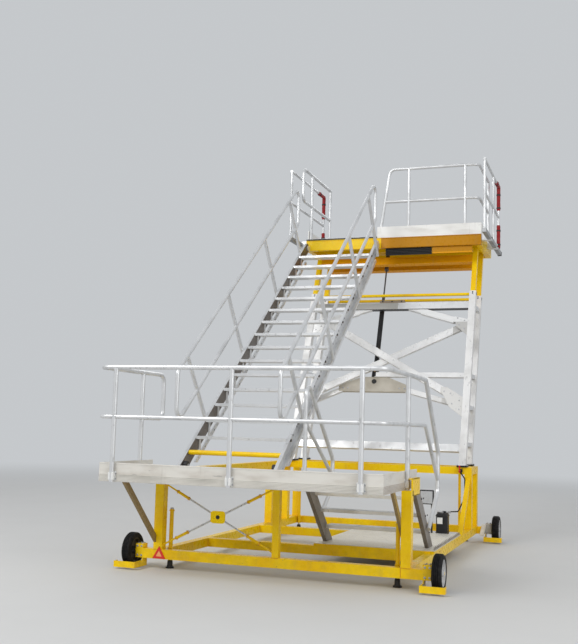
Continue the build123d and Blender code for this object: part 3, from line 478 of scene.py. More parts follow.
@dataclass(frozen=True)
class Plain:
    """A small part's finish: one colour with slight mottling and fine wear."""

    name: str
    colour: Colour
    roughness: float = 0.45
    metal: float = 0.0
    mottle: float = 0.35

    def make(self) -> bpy.types.Material:
        """Builds the material.

        Returns:
            The material.
        """
        graph = Graph(self.name)
        darker = tuple(part * 0.55 for part in self.colour[:3]) + (1,)
        colour = graph.stain(self.colour, darker, graph.noise(55, 5), 0.4, 0.8, self.mottle)
        smoothest = max(self.roughness - 0.08, 0.05)
        rough = graph.ramp(graph.noise(70, 3), 0.3, 0.7, smoothest, self.roughness + 0.1)
        graph.bump(graph.noise(210, 2), 0.08, 0.0005)
        return graph.finish(Base_Color=colour, Roughness=rough, Metallic=self.metal)


@dataclass(frozen=True)
class FinishBook:
    """Every finish of the machine, made once."""

    made: dict[str, bpy.types.Material] = field(default_factory=dict)

    def build(self) -> None:
        """Makes all the finishes."""
        for finish in (
            Paint("yellow", YELLOW, AMBER),
            Paint("yellow_struts", YELLOW, AMBER, zones=(
                # The dark tan on the struts' front parts is painted shade.
                Zone((0.28, 0.2, 0.09, 1), high=(None, FRONT + 0.9, None)),)),
            Paint("yellow_brackets", YELLOW, AMBER, zones=(Zone((0.6, 0.6, 0.58, 1), (1.5, 0, None)),)),
            Paint("yellow_jacks", YELLOW, AMBER, zones=(
                Zone(SILVER, (None, None, 0.017), (None, None, 0.109), 0.8),
                Zone(DARK, high=(None, None, 0.0165)))),
            Paint("yellow_rods", YELLOW, AMBER, zones=(
                Zone(SILVER, (RING[0] - 0.343, None, None), (RING[0] + 0.343, None, None), 0.6),
                Zone(YELLOW, (RING[0] - 0.083, None, RING[1] - 0.0655),
                     (RING[0] + 0.083, None, RING[1] + 0.0655)))),
            Paint("yellow_platform", YELLOW, AMBER, zones=(
                # The darker amber on the front beam's right part, above 4.27 m, is painted shade on the same
                # yellow paint.
                Zone((0.52, 0.225, 0.002, 1), (-0.16, None, 4.27), (None, FRONT + 5.76, None)),
                Zone((0.8, 0.35, 0.003, 1), high=(None, None, 4.3)))),
            Paint("black", DARK, (0.024, 0.024, 0.026, 1), 0.42, 0.74, 0.2, 0.05),
            Paint("hub_grey", (0.55, 0.55, 0.55, 1), (0.42, 0.42, 0.42, 1), 0.42, 0.7, 0.3, 0.1, (
                Zone((0.05, 0.05, 0.05, 1), (-1.675, None, None), (1.675, None, None)),)),
            Paint("yoke_tan", BEIGE, TAN, 0.45, 0.74, 0.0, 0.05),
            Aluminium("aluminium"),
            Aluminium("beam_metal", lines=ACROSS, zones=(
                # The darker grey on the top beam's left part is painted shade.
                Zone((0.42, 0.41, 0.38, 1), (None, None, 3.38), (0.12, None, None)),)),
            Aluminium("brace_metal", (0.8, 0.8, 0.795, 1), (0.62, 0.62, 0.615, 1), metal=0.35, zones=(
                Zone((0.5, 0.49, 0.47, 1), (0.99, None, 2.95), (1.22, None, 3.2)),
                Zone((0.62, 0.61, 0.59, 1), (0.88, None, 1.76), (1.22, None, 2.2)))),
            Aluminium("guard_metal", zones=(Zone((0.25, 0.25, 0.25, 1), high=(None, None, 4.54)),)),
            Aluminium("column_metal", (0.78, 0.775, 0.765, 1), (0.6, 0.595, 0.585, 1), roughness=0.46,
                      metal=0.25),
            Aluminium("stair_metal", zones=(
                # The dark brown band on the left stringer's inner face is painted shade under the treads.
                Zone((0.13, 0.105, 0.085, 1), (-1.3525, None, None), (-1.34, None, None)),)),
            Aluminium("flight_metal", (0.23, 0.195, 0.16, 1), (0.15, 0.125, 0.1, 1), metal=0.3),
            Aluminium("aluminium_across", lines=ACROSS),
            Aluminium("deck_metal", (0.7, 0.7, 0.68, 1), (0.5, 0.5, 0.48, 1), EVEN, 0.42, 0.5,
                      (Zone((0.74, 0.7, 0.6, 1), high=(None, None, 0.3)),)),
            Aluminium("lug_metal", (0.86, 0.84, 0.78, 1), (0.66, 0.64, 0.58, 1), EVEN, 0.3, 0.5),
            Board("board"),
            Board("board_white", (0.86, 0.85, 0.82, 1), (0.7, 0.68, 0.64, 1)),
            Board("board_shaded", (0.5, 0.45, 0.4, 1), (0.36, 0.31, 0.26, 1)),
            Board("board_ribs", (0.66, 0.635, 0.58, 1), (0.5, 0.48, 0.43, 1)),
            Rubber("tyre", 0.35),
            Rubber("hose", 0.25),
            Padding("red_vinyl"),
            Plain("steel_bolt", (0.5, 0.5, 0.51, 1), 0.35, 0.85),
            Plain("dark_bolt", (0.05, 0.05, 0.055, 1), 0.4, 0.5),
            Plain("brass", (0.72, 0.5, 0.2, 1), 0.3, 0.9),
            Plain("weld_silver", (0.58, 0.58, 0.58, 1), 0.42, 0.7),
            Plain("weld_yellow", (0.78, 0.42, 0.006, 1), 0.4),
            Plain("white_plastic", (0.78, 0.78, 0.76, 1), 0.35, 0.0, 0.2),
            Plain("black_plastic", (0.013, 0.013, 0.014, 1), 0.5),
            Plain("grey_plastic", (0.52, 0.53, 0.54, 1), 0.45),
            Plain("red_plastic", (0.62, 0.02, 0.018, 1), 0.3, 0.0, 0.3),
            Plain("lens_red", (0.7, 0.03, 0.02, 1), 0.14, 0.0, 0.15),
            Plain("chrome", (0.8, 0.8, 0.82, 1), 0.1, 1.0, 0.1),
            Plain("tan_bracket", (0.3, 0.23, 0.16, 1), 0.5, 0.1),
            Plain("rod_grey", (0.12, 0.12, 0.125, 1), 0.28, 0.7),
            Plain("reflector_core", (0.95, 0.42, 0.16, 1), 0.16, 0.0, 0.1),
        ):
            self.made[finish.name] = finish.make()

    def give(self, piece: Piece, name: str) -> None:
        """Gives a piece one finish all over.

        Args:
            piece: The mesh.
            name: The finish.
        """
        if piece.material_slots:
            for slot in piece.material_slots:
                slot.material = self.made[name]
        else:
            piece.data.materials.append(self.made[name])


BOOK = FinishBook()


def clear_selection() -> None:
    """Leaves edit mode and selects nothing."""
    if bpy.context.object and bpy.context.object.mode != "OBJECT":
        bpy.ops.object.mode_set(mode="OBJECT")
    bpy.ops.object.select_all(action="DESELECT")


def take(*pieces: Piece) -> None:
    """Selects pieces, the first of them active.

    Args:
        pieces: The pieces.
    """
    clear_selection()
    for piece in pieces:
        piece.select_set(True)
    bpy.context.view_layer.objects.active = pieces[0]


def leave_edit(name: str) -> Piece:
    """Ends the editing of a new piece.

    Args:
        name: The piece's name.

    Returns:
        The piece.
    """
    bpy.ops.mesh.select_mode(type="VERT")
    bpy.ops.object.mode_set(mode="OBJECT")
    return named(bpy.context.object, name)


def named(piece: Piece, name: str) -> Piece:
    """Names a piece and its mesh.

    Args:
        piece: The piece.
        name: The name.

    Returns:
        The same piece.
    """
    piece.name = name
    piece.data.name = name
    return piece


def heal() -> None:
    """Merges the doubled points of the mesh in edit mode and turns its faces outward."""
    bpy.ops.mesh.select_all(action="SELECT")
    bpy.ops.mesh.remove_doubles(threshold=MERGE)
    bpy.ops.mesh.normals_make_consistent(inside=False)


def pick_top() -> None:
    """Selects the top face of the mesh in edit mode, and nothing else."""
    bpy.ops.mesh.select_mode(type="FACE")
    bpy.ops.mesh.select_all(action="DESELECT")
    bpy.ops.object.mode_set(mode="OBJECT")
    for face in bpy.context.object.data.polygons:
        face.select = face.normal.z > 0.9
    bpy.ops.object.mode_set(mode="EDIT")


def slab(name: str, low: Point, high: Point, edge: float = 0.002, segments: int = 1) -> Piece:
    """A block between two corners with broken edges.

    Args:
        name: The piece's name.
        low: Its lowest corner.
        high: Its highest corner.
        edge: Width of the broken edges.
        segments: Their number of faces.

    Returns:
        The piece.
    """
    clear_selection()
    bpy.ops.mesh.primitive_cube_add(size=1, enter_editmode=True, location=(0, 0, 0))
    size = [high[axis] - low[axis] for axis in range(3)]
    bpy.ops.transform.resize(value=size, center_override=(0, 0, 0))
    bpy.ops.transform.translate(value=[(high[axis] + low[axis]) / 2 for axis in range(3)])
    if edge:
        bpy.ops.mesh.bevel(offset=min(edge, min(size) * 0.4), segments=segments, affect="EDGES")
    return leave_edit(name)


def lathe(name: str, profile: Profile, steps: int = 24) -> Piece:
    """A turned piece about the upright axis through the origin.

    Args:
        name: The piece's name.
        profile: Radius and height of each point. It ends on the axis, or where it began.
        steps: Number of faces round it.

    Returns:
        The piece.
    """
    clear_selection()
    bpy.ops.mesh.primitive_plane_add(size=0.01, enter_editmode=True, location=(0, 0, 0))
    bpy.ops.mesh.merge(type="CENTER")
    bpy.ops.transform.translate(value=(profile[0][0], 0, profile[0][1]))
    for before, after in zip(profile, profile[1:]):
        bpy.ops.mesh.extrude_region_move(
            TRANSFORM_OT_translate={"value": (after[0] - before[0], 0, after[1] - before[1])})
    bpy.ops.mesh.select_all(action="SELECT")
    bpy.ops.mesh.spin(steps=steps, angle=math.tau, center=(0, 0, 0), axis=(0, 0, 1))
    heal()
    return smooth(leave_edit(name))


def smooth(piece: Piece, angle: float = 35) -> Piece:
    """Shades a piece smooth but for its sharp edges.

    Args:
        piece: The mesh.
        angle: Steepest smooth edge, in degrees.

    Returns:
        The same piece.
    """
    take(piece)
    bpy.ops.object.shade_smooth_by_angle(angle=math.radians(angle))
    return piece


def moved(piece: Piece, place: Matrix) -> Piece:
    """Moves a piece's mesh, and hands the piece back."""
    piece.data.transform(place)
    return piece


def toward(direction: Iterable[float], place: Iterable[float]) -> Matrix:
    """The placing that points a pattern's upright axis along a direction."""
    return shift(Vector(place)) @ Vector(direction).to_track_quat("Z", "Y").to_matrix().to_4x4()


def join(name: str, pieces: Sequence[Piece]) -> Piece:
    """Joins pieces into one.

    Args:
        name: The new name.
        pieces: The pieces.

    Returns:
        The joined piece.
    """
    take(*pieces)
    if len(pieces) > 1:
        bpy.ops.object.join()
    return named(bpy.context.object, name)


def spread(pattern: Piece, name: str, places: Sequence[Matrix]) -> Piece:
    """Copies a pattern to its places and joins the copies, in batches. The pattern itself goes.

    Args:
        pattern: The piece that is repeated.
        name: Name of the joined piece.
        places: The placing of each copy.

    Returns:
        The joined piece.
    """
    batches = []
    for start in range(0, len(places), BATCH):
        copies = []
        for place in places[start:start + BATCH]:
            twin = pattern.copy()
            twin.data = pattern.data.copy()
            bpy.context.collection.objects.link(moved(twin, place))
            copies.append(twin)
        batches.append(join(name, copies))
    bpy.data.objects.remove(pattern)
    return join(name, batches)


def dress(piece: Piece, finish: str, body: str) -> Piece:
    """Gives a piece its finish and the body that it rides on, and reports it.

    Args:
        piece: The piece.
        finish: The finish's name.
        body: The body.

    Returns:
        The same piece.
    """
    BOOK.give(piece, finish)
    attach(piece, body)
    report.info("%s: %d faces", piece.name, len(piece.data.polygons))
    return piece


def hex_bolt(radius: float, height: float) -> Piece:
    """A hexagon bolt head on its washer, its top chamfered.

    Args:
        radius: Half of the head's width over its corners.
        height: Height of the head.

    Returns:
        The pattern, its washer's foot at the origin.
    """
    clear_selection()
    washer = height * 0.25
    bpy.ops.mesh.primitive_cylinder_add(vertices=6, radius=radius, depth=height, enter_editmode=True,
                                        location=(0, 0, 0))
    bpy.ops.transform.translate(value=(0, 0, washer + height / 2))
    bpy.ops.mesh.bevel(offset=height * 0.14, segments=1, affect="EDGES")
    head = leave_edit("bolt_head")
    ring = lathe("bolt_washer", ((0, 0), (radius * 1.35, 0), (radius * 1.35, washer * 0.7),
                                 (radius * 1.25, washer), (0, washer)), 12)
    return join("bolt", [head, ring])


def weld_ring(radius: float, bead: float) -> Piece:
    """A ring of weld, slightly uneven.

    Args:
        radius: Of the tube that it goes round.
        bead: Radius of the bead.

    Returns:
        The pattern, about the upright axis.
    """
    clear_selection()
    bpy.ops.mesh.primitive_torus_add(major_radius=radius, minor_radius=bead, major_segments=22,
                                     minor_segments=6, location=(0, 0, 0))
    bpy.ops.object.mode_set(mode="EDIT")
    bpy.ops.transform.vertex_random(offset=bead * 0.25, seed=7)
    return smooth(leave_edit("weld"), 60)


def depth(at: float) -> float:
    """Y of a place by its distance behind the landing's front, in metres."""
    return FRONT + at


def on_mast(x: float, z: float, back: float = 0) -> Vector:
    """A point of the mast's leaning plane at a height, or of one further back."""
    return Vector((x, MAST_FOOT[0] + (z - MAST_FOOT[1]) * math.tan(LEAN) + back, z))


def off_mast(spot: Vector, out: float = 0) -> Matrix:
    """The placing that faces forward, square to the mast, so far out of a point of it."""
    return toward(MAST_FACE, spot + MAST_FACE * out)


def on_stair(steps: float, drop: float = 0, x: float = 0) -> Vector:
    """A point of the stair's nosing line, dropped square to the slope.

    Args:
        steps: Number of steps above the lowest tread's nosing.
        drop: Distance under the line.
        x: Place across the machine.

    Returns:
        The point.
    """
    run, rise = STAIR_STEP
    slope = math.hypot(run, rise)
    return Vector((x, STAIR_NOSE[0] + run * steps + drop * rise / slope,
                   STAIR_NOSE[1] + rise * steps - drop * run / slope))


class Assembly:
    """Pieces that ride on one body."""

    body: ClassVar[Body] = Body.CHASSIS

    def add(self, piece: Piece, finish: str, slot: Slot) -> None:
        """Dresses a piece on the assembly's body."""
        dress(piece, finish, self.body.value)

    def row(self, name: str, pattern: Piece, places: Sequence[Matrix], finish: str, slot: Slot) -> None:
        """Adds a pattern at several places as one piece."""
        self.add(spread(pattern, name, places), finish, slot)

    def bolts(self, name: str, size: tuple[float, float], places: Sequence[Matrix], finish: str,
              slot: Slot = Slot.ALUMINIUM) -> None:
        """Adds bolts of one radius and height as one piece."""
        self.row(name, hex_bolt(*size), places, finish, slot)

    def turned(self, name: str, profile: Profile, place: Matrix, finish: str, slot: Slot = Slot.BLACK,
               steps: int = 24) -> None:
        """Adds a turned piece at a place."""
        self.add(moved(lathe(name, profile, steps), place), finish, slot)

    def block(self, name: str, low: Point, high: Point, finish: str, slot: Slot, edge: float = 0.002,
              segments: int = 1, place: Matrix = Matrix()) -> None:
        """Adds a block between two corners, moved to its place."""
        self.add(moved(slab(name, low, high, edge, segments), place), finish, slot)

    def plank_ribs(self, name: str, x: tuple[float, float], y: tuple[float, float], top: float) -> None:
        """Adds ribs along the planks of a deck.

        Args:
            name: The piece's name.
            x: Where the ribs begin and end.
            y: Where the planks begin and end.
            top: The deck's height.
        """
        rib = slab("plank_rib", (x[0], -0.004, top - 0.001), (x[1], 0.004, top + 0.0022), 0.001)
        count = int((y[1] - y[0]) / PLANK_PITCH)
        places = [shift((0, y[0] + PLANK_PITCH * (index + 0.5), 0)) for index in range(count)]
        self.row(name, rib, places, "deck_metal", Slot.ALUMINIUM)

    def grip_ribs(self, name: str, x: tuple[float, float], noses: Sequence[tuple[float, float]], pitch: float
                  ) -> None:
        """Adds grip ribs on the treads of a stair.

        Args:
            name: The piece's name.
            x: The treads' ends.
            noses: Y and height of each tread's nosing.
            pitch: Distance between the ribs.
        """
        rib = slab("grip_rib", (x[0] + 0.004, -0.004, -0.001), (x[1] - 0.004, 0.004, 0.0025), 0.001)
        places = [shift((0, y + 0.014 + pitch * index, z)) for y, z in noses for index in range(TREAD_RIBS)]
        self.row(name, rib, places, "aluminium_across", Slot.ALUMINIUM)


@dataclass
class Wheels:
    """Four solid tyres on dished hubs, with their studs and caps."""

    radius: float = 0.184
    half_width: float = 0.05
    rim: float = 0.13
    x: float = 1.67
    studs: int = 5
    stud_ring: float = 0.072
    dish: float = 0.014
    grooves: tuple[float, ...] = (-0.017, 0.0, 0.017)
    groove: Profile = ((0.0004, -0.0042), (0.0075, -0.0026), (0.0075, 0.0026), (0.0004, 0.0042))

    def build(self) -> None:
        """Models the dress of each of the four wheels."""
        for side, side_name in zip(SIDES, ("left", "right")):
            for at, end_name in zip(WHEELS_AT, ("front", "rear")):
                corner = f"{end_name}_{side_name}"
                place = toward((side, 0, 0), (side * self.x, depth(at), self.radius))
                self.tyre(corner, place)
                self.hub_trim(corner, place)

    def tyre(self, corner: str, place: Matrix) -> None:
        """A grooved tyre in the place of the plain one.

        Args:
            corner: Which wheel it is.
            place: The placing of the wheel.
        """
        r, h, rim = self.radius, self.half_width, self.rim
        flank = [(rim, -h + 0.004), (rim + 0.006, -h), (rim + 0.014, -h), (rim + 0.017, -h + 0.002),
                 (rim + 0.02, -h), (r - 0.022, -h + 0.0015), (r - 0.015, -h + 0.004), (r - 0.006, -h + 0.011),
                 (r - 0.0015, -h + 0.018)]
        tread = [(r - sunk, middle + aside) for middle in self.grooves for sunk, aside in self.groove]
        far_flank = [(radius, -height) for radius, height in reversed(flank)]
        tyre = moved(lathe("tyre_tread_" + corner, flank + tread + far_flank + flank[:1], 64), place)
        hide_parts("tyre_" + corner)
        dress(tyre, "tyre", "wheel_" + corner)

    def hub_trim(self, corner: str, place: Matrix) -> None:
        """Studs on the hub's dish and a cap over the axle's end.

        Args:
            corner: Which wheel it is.
            place: The placing of the wheel.
        """
        spots = [place @ Matrix.Rotation(index * math.tau / self.studs, 4, "Z")
                 @ shift((self.stud_ring, 0, self.dish)) for index in range(self.studs)]
        studs = spread(hex_bolt(0.01, 0.009), "hub_studs_" + corner, spots)
        dress(studs, "steel_bolt", "wheel_" + corner)
        cap = lathe("hub_cap_" + corner, ((0, 0.0565), (0.008, 0.0562), (0.0145, 0.055), (0.019, 0.0525),
                                          (0.0215, 0.0495), (0.0215, 0.046), (0.0, 0.046)), 28)
        dress(moved(cap, place), "chrome", "wheel_" + corner)


@dataclass
class Chassis(Assembly):
    """The yellow under-frame's bolts, welds, reflector, jack and tie rod fittings."""

    half_width: float = 1.4
    rail: float = 0.1
    bottom: float = 0.11
    bead: float = 0.005
    rails_at: tuple[float, ...] = (FRONT_RAIL, 2.0, 3.72, 5.345)
    jack_x: tuple[float, ...] = (-1.268, 1.238)
    jacks_at: tuple[float, ...] = (0.942, 5.293)
    rod_way: Point = (0.627, 0, 0.323)

    def build(self) -> None:
        """Adds everything that the bare rails lack."""
        self.welds()
        self.bracket_bolts()
        self.reflector()
        self.tie_rod_trim()
        self.jack_trim()
        self.post_head()

    def post_head(self) -> None:
        """The plate on the front right post that carries the landing's side, with its edge lips."""
        y0, y1 = depth(FRONT_RAIL) + 0.06, depth(FRONT_RAIL) + 0.42
        parts = [slab("plate", (1.384, y0, 0.9), (self.half_width, y1, 1.075), 0.003, 2)]
        parts += [slab("lip", (1.36, y0, z), (self.half_width, y1, z + 0.012), 0.003) for z in (0.9, 1.063)]
        self.add(join("post_head_right", parts), "yellow", Slot.YELLOW)

    def welds(self) -> None:
        """Beads of weld where the posts stand on the lower rails, and where the rails meet."""
        bead = self.bead
        seam = slab("seam", (-0.5, -bead, -bead), (0.5, bead, bead), bead * 0.8)
        x_left, x_right = -self.half_width, self.half_width - self.rail
        posts = [(x_left, FRONT_RAIL, 0.1), (x_right, FRONT_RAIL, 0.1), (-0.046, FRONT_RAIL, 0.072),
                 (x_left, 4.15, 0.1), (x_left, 4.83, 0.1), (x_right, 4.83, 0.1), (x_left, 5.345, 0.1),
                 (x_right, 5.345, 0.1)]
        foot = self.bottom + self.rail
        places = [shift((x + size / 2, depth(at) + offset, foot)) @ Matrix.Diagonal((size * 0.96, 1, 1, 1))
                  for x, at, size in posts for offset in (0, size)]
        upright = Matrix.Rotation(math.pi / 2, 4, "Y") @ Matrix.Diagonal((self.rail * 0.94, 1, 1, 1))
        places += [shift((x, depth(at) + y, self.bottom + self.rail / 2)) @ upright
                   for at in self.rails_at for x in (x_left + self.rail, x_right) for y in (0, self.rail)]
        self.row("chassis_welds", seam, places, "weld_yellow", Slot.YELLOW)

    def bracket_bolts(self) -> None:
        """Bolts on the wheel brackets' front faces and tops, and the flap on the rear right one."""
        places = []
        for side in SIDES:
            for at in WHEELS_AT:
                y = depth(at)
                places += [toward(AHEAD, (side * x, y - 0.05, z))
                           for x in (1.54, 1.588) for z in (0.135, 0.232)]
                places += [toward(UP, (side * x, y + dy, 0.257))
                           for x in (1.543, 1.585) for dy in (-0.03, 0.03)]
        self.bolts("bracket_bolts", (0.009, 0.007), places, "steel_bolt", Slot.YELLOW)
        hung = shift((1.49, depth(WHEELS_AT[1]) - 0.062, 0.165)) @ Matrix.Rotation(math.radians(14), 4, "Y")
        self.block("bracket_flap", (-0.03, -0.006, -0.085), (0.03, 0.006, 0.085), "board_white",
                   Slot.BOARD, 0.004, 2, hung)

    def reflector(self) -> None:
        """A plain red triangle reflector on the front rail's left end, with a paler middle."""
        clear_selection()
        bpy.ops.mesh.primitive_cylinder_add(vertices=3, radius=0.086, depth=0.012, enter_editmode=True,
                                            location=(0, 0, 0))
        pick_top()
        for thickness, height in ((0.004, 0.002), (0.017, 0), (0.002, -0.003)):
            bpy.ops.mesh.inset(thickness=thickness, depth=height)
        piece = moved(leave_edit("reflector"), toward(AHEAD, (-1.325, depth(FRONT_RAIL) - 0.006, 0.158)))
        self.add(piece, "lens_red", Slot.PADDING)
        piece.data.materials.append(BOOK.made["reflector_core"])
        for face in piece.data.polygons:
            if len(face.vertices) == 3 and face.normal.y < -0.9:
                face.material_index = 1

    def tie_rod_trim(self) -> None:
        """A dark hub in the ring plate and lock nuts at the sleeves' ends."""
        centre = Vector((RING[0], depth(FRONT_RAIL + 0.036), RING[1]))
        self.turned("tie_ring_hub", ((0, -0.011), (0.012, -0.0105), (0.0215, -0.008), (0.0215, 0.008),
                                     (0.012, 0.0105), (0, 0.011)), toward(AHEAD, centre), "black_plastic")
        places = []
        for side_x in SIDES:
            for side_z in SIDES:
                way = Vector((self.rod_way[0] * side_x, 0, self.rod_way[2] * side_z)).normalized()
                places += [toward(way * facing, centre + way * distance)
                           for distance, facing in ((0.388, -1), (0.528, 1))]
        self.bolts("tie_rod_nuts", (0.0165, 0.014), places, "weld_yellow", Slot.YELLOW)

    def jack_trim(self) -> None:
        """Collars, cap nuts and foot joints of the screw jacks."""
        stations = [(x, depth(at)) for x in self.jack_x for at in self.jacks_at]
        collar = lathe("jack_collar", ((0.0225, 0.0), (0.029, 0.002), (0.029, 0.014), (0.0225, 0.016),
                                       (0.0225, 0.0)))
        self.row("jack_collars", collar, [shift((x, y, z)) for x, y in stations for z in (0.21, 0.605)],
                 "yellow", Slot.YELLOW)
        self.bolts("jack_nuts", (0.017, 0.014), [shift((x, y, 0.628)) for x, y in stations], "steel_bolt",
                   Slot.YELLOW)
        ball = lathe("jack_ball", ((0.0125, 0.088), (0.022, 0.086), (0.027, 0.08), (0.029, 0.06),
                                   (0.03, 0.03), (0.036, 0.0155), (0.0125, 0.0155), (0.0125, 0.088)))
        self.row("jack_foot_joints", ball, [shift((x, y, 0)) for x, y in stations], "black_plastic",
                 Slot.BLACK)


@dataclass
class Landing(Assembly):
    """The low front landing: ribbed boards, planked deck, socket plates and short flight."""

    left: float = -1.64
    right: float = 1.307
    length: float = 1.5
    top: float = 1.032
    board_top: float = 1.144
    board_foot: float = 0.956
    ribbed_to: float = 1.03
    post_x: tuple[float, ...] = (-1.483, -0.21, 1.098)
    mid_rail: float = 1.607
    flight: tuple[float, float] = (0.113, 1.262)
    flight_step: tuple[float, float] = (0.23, 0.199)
    plate_low: Point = (0.02, -1.5415, 0.242)
    plate_high: Point = (1.41, 0.2785, 0.242)
    lug_pitch: float = 0.036

    def build(self) -> None:
        """Adds the landing's trim."""
        self.board_ribs()
        self.sockets()
        self.plank_ribs("landing_deck_ribs", (self.left + 0.024, self.right - 0.024),
                        (FRONT + 0.024, depth(self.length) - 0.004), self.top)
        self.tread_plate()
        self.flight_treads()
        self.rail_welds()

    def board_ribs(self) -> None:
        """Skins and ribs along the lower part of the boards, and a rolled lip on top."""
        left, right, foot, rear = self.left, self.right, self.board_foot, depth(self.length)
        skins = [slab("skin", low, high, 0) for low, high in (
            ((left, FRONT - 0.002, foot), (right, FRONT + 0.001, self.ribbed_to)),
            ((right - 0.001, FRONT, foot), (right + 0.002, rear, self.ribbed_to)),
            ((left - 0.002, FRONT, foot), (left + 0.001, rear, self.ribbed_to)))]
        self.add(join("board_skins", skins), "board_ribs", Slot.BOARD)
        places = [shift((0, 0, foot + 0.009 + 0.0125 * index)) for index in range(6)]
        rib = slab("rib", (left, FRONT - 0.006, -0.0035), (right, FRONT + 0.001, 0.0035), 0.0018, 2)
        self.row("front_board_ribs", rib, places, "board_ribs", Slot.BOARD)
        self.block("front_board_lip", (left, FRONT - 0.003, self.board_top - 0.014),
                   (right, FRONT + 0.023, self.board_top), "board", Slot.BOARD, 0.002, 2)
        rib = slab("rib", (right - 0.001, FRONT + 0.002, -0.0035), (right + 0.006, rear - 0.002, 0.0035),
                   0.0018, 2)
        self.row("side_board_ribs", rib, places, "board_shaded", Slot.BOARD)

    def sockets(self) -> None:
        """White socket plates that hold the posts' feet over the boards, with their bolts."""
        plate = slab("socket_plate", (-0.042, FRONT - 0.006, 0.966), (0.042, FRONT + 0.001, 1.062),
                     0.003, 2)
        saddle = slab("socket_saddle", (-0.031, FRONT - 0.0455, 0.972), (0.031, FRONT - 0.004, 1.05),
                      0.008, 3)
        spots = [toward(AHEAD, (x, FRONT - 0.006, z)) for x in (-0.0365, 0.0365) for z in (0.985, 1.04)]
        socket = join("socket", [plate, saddle])
        places = [shift((x, 0, 0)) for x in self.post_x]
        places.append(shift((self.right, depth(0.92), 0)) @ Matrix.Rotation(math.pi / 2, 4, "Z")
                      @ shift((0, -FRONT, 0)))
        self.row("landing_socket", socket, places, "white_plastic", Slot.BOARD)
        spots = [place @ spot for place in places for spot in spots]
        self.bolts("landing_socket_bolts", (0.007, 0.005), spots, "steel_bolt")

    def tread_plate(self) -> None:
        """Raised lugs on the low plate behind the flight, and the teeth of its right edge."""
        low, high, pitch = self.plate_low, self.plate_high, self.lug_pitch
        clear_selection()
        bpy.ops.mesh.primitive_cylinder_add(vertices=8, radius=0.5, depth=0.0024, enter_editmode=True,
                                            location=(0, 0, 0))
        bpy.ops.transform.resize(value=(0.03, 0.009, 1), center_override=(0, 0, 0))
        pick_top()
        bpy.ops.transform.resize(value=(0.72, 0.45, 1), center_override=(0, 0, 0))
        lug = leave_edit("lug")
        places = []
        for row in range(int((high[1] - low[1]) / pitch)):
            for column in range(int((high[0] - low[0]) / pitch)):
                turn = math.pi / 4 if (row + column) % 2 else -math.pi / 4
                spot = (low[0] + pitch * (column + 0.75), low[1] + pitch * (row + 0.75), low[2] + 0.0008)
                places.append(shift(spot) @ Matrix.Rotation(turn, 4, "Z"))
        self.row("tread_plate_lugs", lug, places, "lug_metal", Slot.ALUMINIUM)
        tooth = slab("tooth", (-0.003, -0.026, -0.002), (0.003, 0.026, 0.034), 0.002)
        places = [shift((high[0] - 0.012, low[1] + 0.06 + 0.09 * index, low[2]))
                  @ Matrix.Rotation(math.radians(-24), 4, "X") for index in range(20)]
        self.row("plate_edge_teeth", tooth, places, "flight_metal", Slot.ALUMINIUM)

    def flight_treads(self) -> None:
        """Grip ribs on the short flight's treads, and bolts through its stringers."""
        run, rise = self.flight_step
        noses = [(depth(self.length) + step * run - 0.02, self.top - step * rise) for step in (1, 2, 3)]
        self.grip_ribs("flight_tread_ribs", self.flight, noses, 0.0245)
        places = [toward((way, 0, 0), (x, y + spot, z - 0.017)) for y, z in noses
                  for x, way in ((0.068, -1), (1.307, 1)) for spot in (0.05, 0.15)]
        self.bolts("flight_bolts", (0.009, 0.006), places, "dark_bolt")

    def rail_welds(self) -> None:
        """Rings of weld where the mid rails meet the posts."""
        gap, z = 0.0245, self.mid_rail
        places = [toward((side, 0, 0), (x + side * gap, FRONT - 0.023, z))
                  for x in self.post_x for side in SIDES]
        for x, at, sides in ((-1.663, 0.89, (-1,)), (1.33, 0.92, SIDES)):
            places += [toward((0, side, 0), (x, depth(at) + side * gap, z)) for side in sides]
        self.row("landing_rail_welds", weld_ring(0.0205, 0.0028), places, "weld_silver", Slot.ALUMINIUM)


